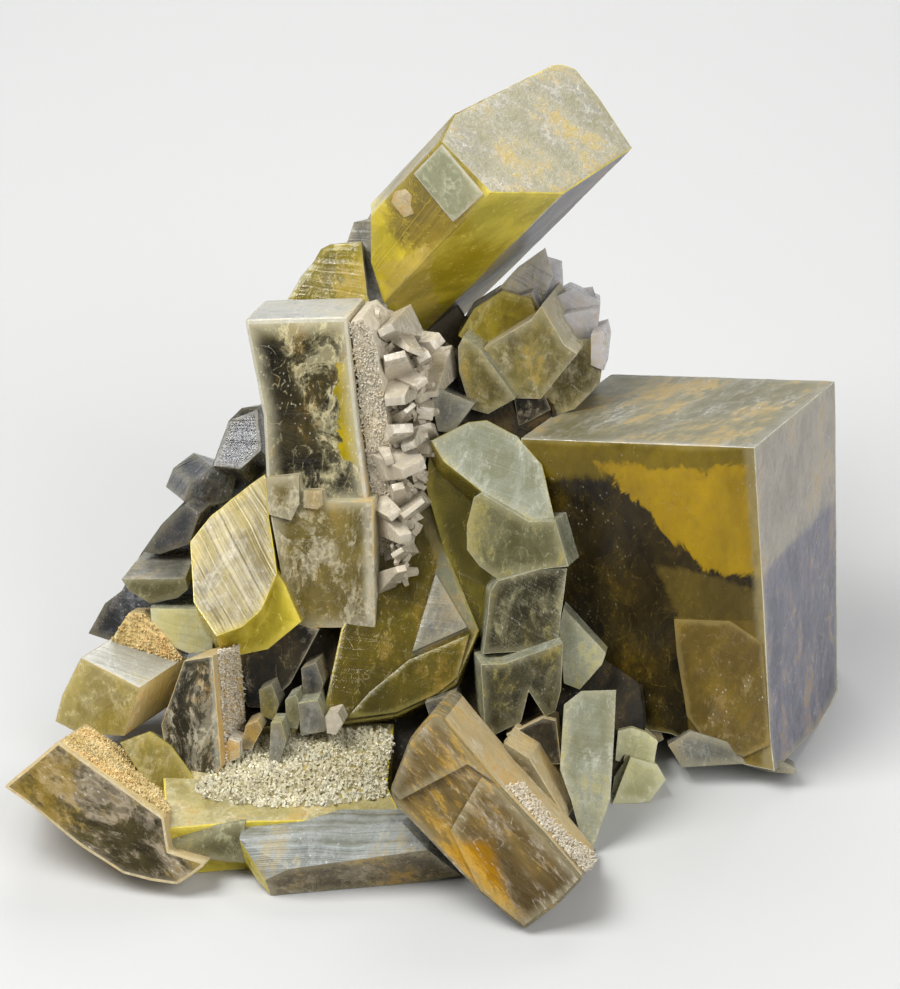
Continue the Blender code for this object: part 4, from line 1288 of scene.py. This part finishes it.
# Blocky druse on the pillar's flank: centre (pixels), depth, width, height (mm), turn (degrees)
flankDruse = {
    "blocks": ((390, 330, -9.0, 4.0, 3.6, 25.0), (408, 345, -8.0, 4.6, 3.8, -25.0), (421, 358, -6.0, 4.0, 4.2, 30.0),
               (396, 362, -9.0, 4.4, 4.4, 10.0), (412, 380, -8.0, 4.6, 4.0, 35.0), (398, 395, -8.5, 4.0, 4.2, 15.0),
               (405, 412, -8.0, 4.4, 3.8, 40.0), (397, 432, -7.5, 4.0, 4.6, 5.0), (412, 440, -6.5, 4.8, 4.4, 30.0),
               (404, 465, -7.5, 5.4, 7.0, 20.0), (398, 492, -6.5, 3.6, 3.8, 12.0), (412, 508, -7.0, 5.6, 4.6, 38.0),
               (396, 530, -6.0, 3.6, 4.6, 8.0), (401, 552, -5.5, 3.2, 3.6, 30.0), (394, 574, -5.5, 2.6, 4.0, 15.0),
               (422, 410, -3.5, 4.4, 6.6, -8.0), (430, 388, -2.5, 3.8, 5.4, 18.0), (427, 345, -3.0, 5.0, 5.4, 40.0),
               (423, 432, -4.0, 4.0, 5.0, 10.0), (386, 455, -7.5, 3.0, 4.0, 20.0), (388, 510, -6.5, 2.8, 3.6, 40.0)),
    "run": (-1.6, 0.6, 8.0),
    "sway": 3.4,
    "grow": 1.1,
    "vary": 0.3,
    "ridge": 0.5,
    "roof": 0.2,
    "lift": 0.28,
    "rim": 0.14,
    "fineness": 0.0012,
    "wave": 0.00004,
}


def druseBlock(number, px, py, depth, width, height, turn):
    middle = onSightLine(px, py, depth)
    sway = flankDruse["sway"]
    run = Vector(flankDruse["run"]) + Vector((sway * math.cos(number * 2.4), sway * math.sin(number * 1.7), 0.0))
    width *= flankDruse["grow"] + flankDruse["vary"] * math.sin(number * 2.9)
    height *= flankDruse["grow"] + flankDruse["vary"] * math.cos(number * 3.7)
    across = Vector((math.cos(math.radians(turn)), math.sin(math.radians(turn)), 0.25))
    across = (across - run * across.dot(run) / run.length_squared).normalized()
    upward = run.cross(across).normalized()
    if upward.y < 0.0:
        upward = -upward
    corners = ((-0.5, -0.5), (0.5, -0.5), (0.5, 0.5), (-0.5, 0.5))
    ring = [middle + across * (side * width) + upward * (lift * height) for side, lift in corners]
    roof = [middle + (point - middle).project(across) * flankDruse["ridge"]
            + (point - middle).project(upward) * flankDruse["roof"] - run * flankDruse["lift"] for point in ring]
    data = ringPrism(roof, [point + run for point in ring])
    bmesh.ops.recalc_face_normals(data, faces=data.faces[:])
    softenEdges(data, flankDruse["rim"] * 0.001)
    smoothOut(data, flankDruse["fineness"], flankDruse["wave"], number * 1.7)
    finishPiece(f"flankBlock{number}", data, [skins["druseWhite"]] * 7)


for number, values in enumerate(flankDruse["blocks"]):
    druseBlock(number, *values)
print("flank blocks done")

# Fine druse: grains scattered over a seed surface by Geometry Nodes, then made plain mesh
shelfDruse = {"grain": 0.36, "density": 6.5, "seed": 4, "lean": 0.8}
flankFine = {"grain": 0.2, "density": 13.0, "seed": 9, "lean": 0.5}
flankCoarse = {"grain": 1.0, "density": 1.0, "seed": 12, "lean": 0.9}
topCrust = {"grain": 0.2, "density": 9.0, "seed": 15, "lean": 0.8}


def addSocket(tree, label, kind, value):
    socket = tree.interface.new_socket(name=label, in_out="INPUT", socket_type=kind)
    if value is not None:
        socket.default_value = value
    return socket.identifier


def druseNode(tree, kind, inputs, **settings):
    node = tree.nodes.new(kind)
    for label, value in settings.items():
        setattr(node, label, value)
    for label, value in inputs.items():
        if isinstance(value, bpy.types.NodeSocket):
            tree.links.new(value, node.inputs[label])
        else:
            node.inputs[label].default_value = value
    return node


# One grain, in shares of the grain size: a four-sided frustum with its own random size and turn
grainForm = {
    "corners": 4,
    "topRadius": 0.55,
    "baseRadius": 0.85,
    "height": 1.5,
    "leastSize": (0.45, 0.55, 0.5),
    "mostSize": (1.15, 1.25, 1.5),
    "fullTurn": 6.28,
}


def druseTree(name):
    tree = bpy.data.node_groups.new(name, "GeometryNodeTree")
    inputs = {label: addSocket(tree, label, kind, value) for label, kind, value in (
        ("Surface", "NodeSocketGeometry", None),
        ("Density", "NodeSocketFloat", 1000000.0),
        ("Grain", "NodeSocketFloat", 0.0006),
        ("Seed", "NodeSocketInt", 1),
        ("Lean", "NodeSocketFloat", 0.7),
        ("Skin", "NodeSocketMaterial", None),
    )}
    tree.interface.new_socket(name="Grains", in_out="OUTPUT", socket_type="NodeSocketGeometry")
    enter = tree.nodes.new("NodeGroupInput").outputs
    scatter = druseNode(tree, "GeometryNodeDistributePointsOnFaces",
                        {"Mesh": enter["Surface"], "Density": enter["Density"], "Seed": enter["Seed"]})
    grain = druseNode(tree, "GeometryNodeMeshCone",
                      {"Vertices": grainForm["corners"], "Radius Top": grainForm["topRadius"],
                       "Radius Bottom": grainForm["baseRadius"], "Depth": grainForm["height"]}, fill_type="NGON")
    size = druseNode(tree, "FunctionNodeRandomValue",
                     {"Min": grainForm["leastSize"], "Max": grainForm["mostSize"], "Seed": enter["Seed"]},
                     data_type="FLOAT_VECTOR")
    grow = druseNode(tree, "ShaderNodeVectorMath", {0: size.outputs[0], "Scale": enter["Grain"]}, operation="SCALE")
    negative = druseNode(tree, "ShaderNodeMath", {0: enter["Lean"], 1: -1.0}, operation="MULTIPLY").outputs[0]
    low = druseNode(tree, "ShaderNodeCombineXYZ", {"X": negative, "Y": negative})
    high = druseNode(tree, "ShaderNodeCombineXYZ",
                     {"X": enter["Lean"], "Y": enter["Lean"], "Z": grainForm["fullTurn"]})
    turn = druseNode(tree, "FunctionNodeRandomValue", {"Min": low.outputs[0], "Max": high.outputs[0]},
                     data_type="FLOAT_VECTOR")
    twist = druseNode(tree, "FunctionNodeRotateRotation", {0: scatter.outputs["Rotation"], 1: turn.outputs[0]},
                      rotation_space="LOCAL")
    place = druseNode(tree, "GeometryNodeInstanceOnPoints",
                      {"Points": scatter.outputs["Points"], "Instance": grain.outputs["Mesh"],
                       "Rotation": twist.outputs[0], "Scale": grow.outputs[0]})
    solid = druseNode(tree, "GeometryNodeRealizeInstances", {0: place.outputs[0]})
    paint = druseNode(tree, "GeometryNodeSetMaterial", {"Geometry": solid.outputs[0], "Material": enter["Skin"]})
    tree.links.new(paint.outputs[0], tree.nodes.new("NodeGroupOutput").inputs[0])
    return tree, inputs


druseNodes, druseInputs = druseTree("druse")


def growDruse(name, seedMesh, settings, skin):
    piece = bpy.data.objects.new(name, seedMesh)
    bpy.context.scene.collection.objects.link(piece)
    change = piece.modifiers.new("druse", "NODES")
    change.node_group = druseNodes
    change[druseInputs["Density"]] = settings["density"] * 1000000.0
    change[druseInputs["Grain"]] = settings["grain"] * 0.001
    change[druseInputs["Seed"]] = settings["seed"]
    change[druseInputs["Lean"]] = settings["lean"]
    change[druseInputs["Skin"]] = skins[skin]
    graph = bpy.context.evaluated_depsgraph_get()
    mesh = bpy.data.meshes.new_from_object(piece.evaluated_get(graph))
    piece.modifiers.remove(change)
    piece.data = mesh
    mesh.name = name
    joinCluster(piece)
    print(name, len(mesh.polygons), "faces")
    return piece


def patchOn(facet, outline, lift):
    # seed surface on a crystal's facet, a little below it so that the grains stay rooted
    corner, normal = facet
    origin = corner - normal * lift
    data = bmesh.new()
    data.faces.new([data.verts.new(toWorld(onFace(px, py, origin, normal))) for px, py in outline])
    bmesh.ops.triangulate(data, faces=data.faces[:])
    data.normal_update()
    if sum((face.normal for face in data.faces), Vector()).dot(turnToWorld(normal)) < 0.0:
        bmesh.ops.reverse_faces(data, faces=data.faces[:])
    mesh = bpy.data.meshes.new("seedSurface")
    data.to_mesh(mesh)
    data.free()
    return mesh


druseField = ((232, 748), (262, 738), (300, 736), (345, 730), (388, 727), (393, 745), (385, 778), (388, 797),
              (330, 806), (262, 808), (205, 800), (196, 790), (215, 765))
growDruse("shelfDruse", patchOn(facetPlane(shelf), druseField, 0.15), shelfDruse, "druseCream")
growDruse("flankCrust", patchOn(facetPlane(crustStrip), crustStrip["outline"], 0.1), flankFine, "crust")
flankSheet = {"outline": ((374, 305), (388, 330), (428, 372), (424, 480), (410, 560), (396, 590), (386, 420)),
              "near": -8.0, "run": (-3.0, 0.6, 8.0)}
growDruse("flankBlocks", patchOn(facetPlane(flankSheet), flankSheet["outline"], 0.2), flankCoarse, "druseWhite")
crustPatches = {
    "prowCrust": {"on": leftGroup["prow"], "side": 11, "skin": "paleOrange",
                  "outline": ((62, 741), (86, 727), (150, 767), (186, 797), (166, 813), (112, 777))},
    "frontCrust": {"on": frontBlock, "side": 1, "skin": "crust",
                   "outline": ((505, 786), (522, 782), (560, 828), (598, 858), (586, 874), (545, 829))},
    "stainCrust": {"on": leftGroup["stainPatch"], "side": None, "skin": "paleOrange",
                   "outline": leftGroup["stainPatch"]["outline"]},
    "postCrust": {"on": leftGroup["post"], "side": 1, "skin": "crust",
                  "outline": ((217, 650), (238, 645), (243, 690), (243, 735), (226, 768))},
}
for name, patch in crustPatches.items():
    growDruse(name, patchOn(facetPlane(patch["on"], patch["side"]), patch["outline"], 0.08), topCrust, patch["skin"])

# Floor, light and camera
studio = {
    "floorSize": 1.6,
    "floorColour": (0.50, 0.50, 0.49, 1.0),
    "floorRough": 0.7,
    "skyColour": (0.80, 0.84, 0.90, 1.0),
    "skyStrength": 0.25,
    "aim": (0.0, 0.0, 0.035),
    "film": 36.0,
    "clipStart": 0.01,
}
floorData = bmesh.new()
bmesh.ops.create_grid(floorData, x_segments=1, y_segments=1, size=studio["floorSize"])
floorMesh = bpy.data.meshes.new("floor")
floorData.to_mesh(floorMesh)
floorData.free()
floor = bpy.data.objects.new("floor", floorMesh)
bpy.context.scene.collection.objects.link(floor)
floorSkin = bpy.data.materials.new("floorSkin")
floorSkin.use_nodes = True
floorShader = floorSkin.node_tree.nodes["Principled BSDF"]
floorShader.inputs["Base Color"].default_value = studio["floorColour"]
floorShader.inputs["Roughness"].default_value = studio["floorRough"]
floorMesh.materials.append(floorSkin)

lights = {
    "key": {"place": (-0.30, -0.12, 0.55), "size": 0.35, "power": 4.8},
    "fill": {"place": (0.38, -0.40, 0.38), "size": 0.5, "power": 3.2},
    "back": {"place": (0.05, 0.45, 0.40), "size": 0.4, "power": 1.8},
}
for name, light in lights.items():
    lamp = bpy.data.lights.new(name, "AREA")
    lamp.size = light["size"]
    lamp.energy = light["power"]
    holder = bpy.data.objects.new(name, lamp)
    holder.location = light["place"]
    holder.rotation_euler = (Vector(light["place"]) - Vector(studio["aim"])).to_track_quat("Z", "Y").to_euler()
    bpy.context.scene.collection.objects.link(holder)
world = bpy.context.scene.world or bpy.data.worlds.new("studio")
bpy.context.scene.world = world
world.use_nodes = True
world.node_tree.nodes["Background"].inputs["Color"].default_value = studio["skyColour"]
world.node_tree.nodes["Background"].inputs["Strength"].default_value = studio["skyStrength"]

camera = bpy.data.cameras.new("camera")
camera.lens = studio["film"] * view["eyeDistance"] * view["pixelsPerMm"] / view["pictureHeight"]
camera.clip_start = studio["clipStart"]
cameraHolder = bpy.data.objects.new("camera", camera)
cameraHolder.location = toWorld(Vector((0.0, 0.0, -view["eyeDistance"])))
cameraHolder.rotation_euler = (math.radians(90.0 - view["elevation"]), 0.0, 0.0)
bpy.context.scene.collection.objects.link(cameraHolder)
bpy.context.scene.camera = cameraHolder
bpy.context.scene.view_settings.view_transform = "Standard"
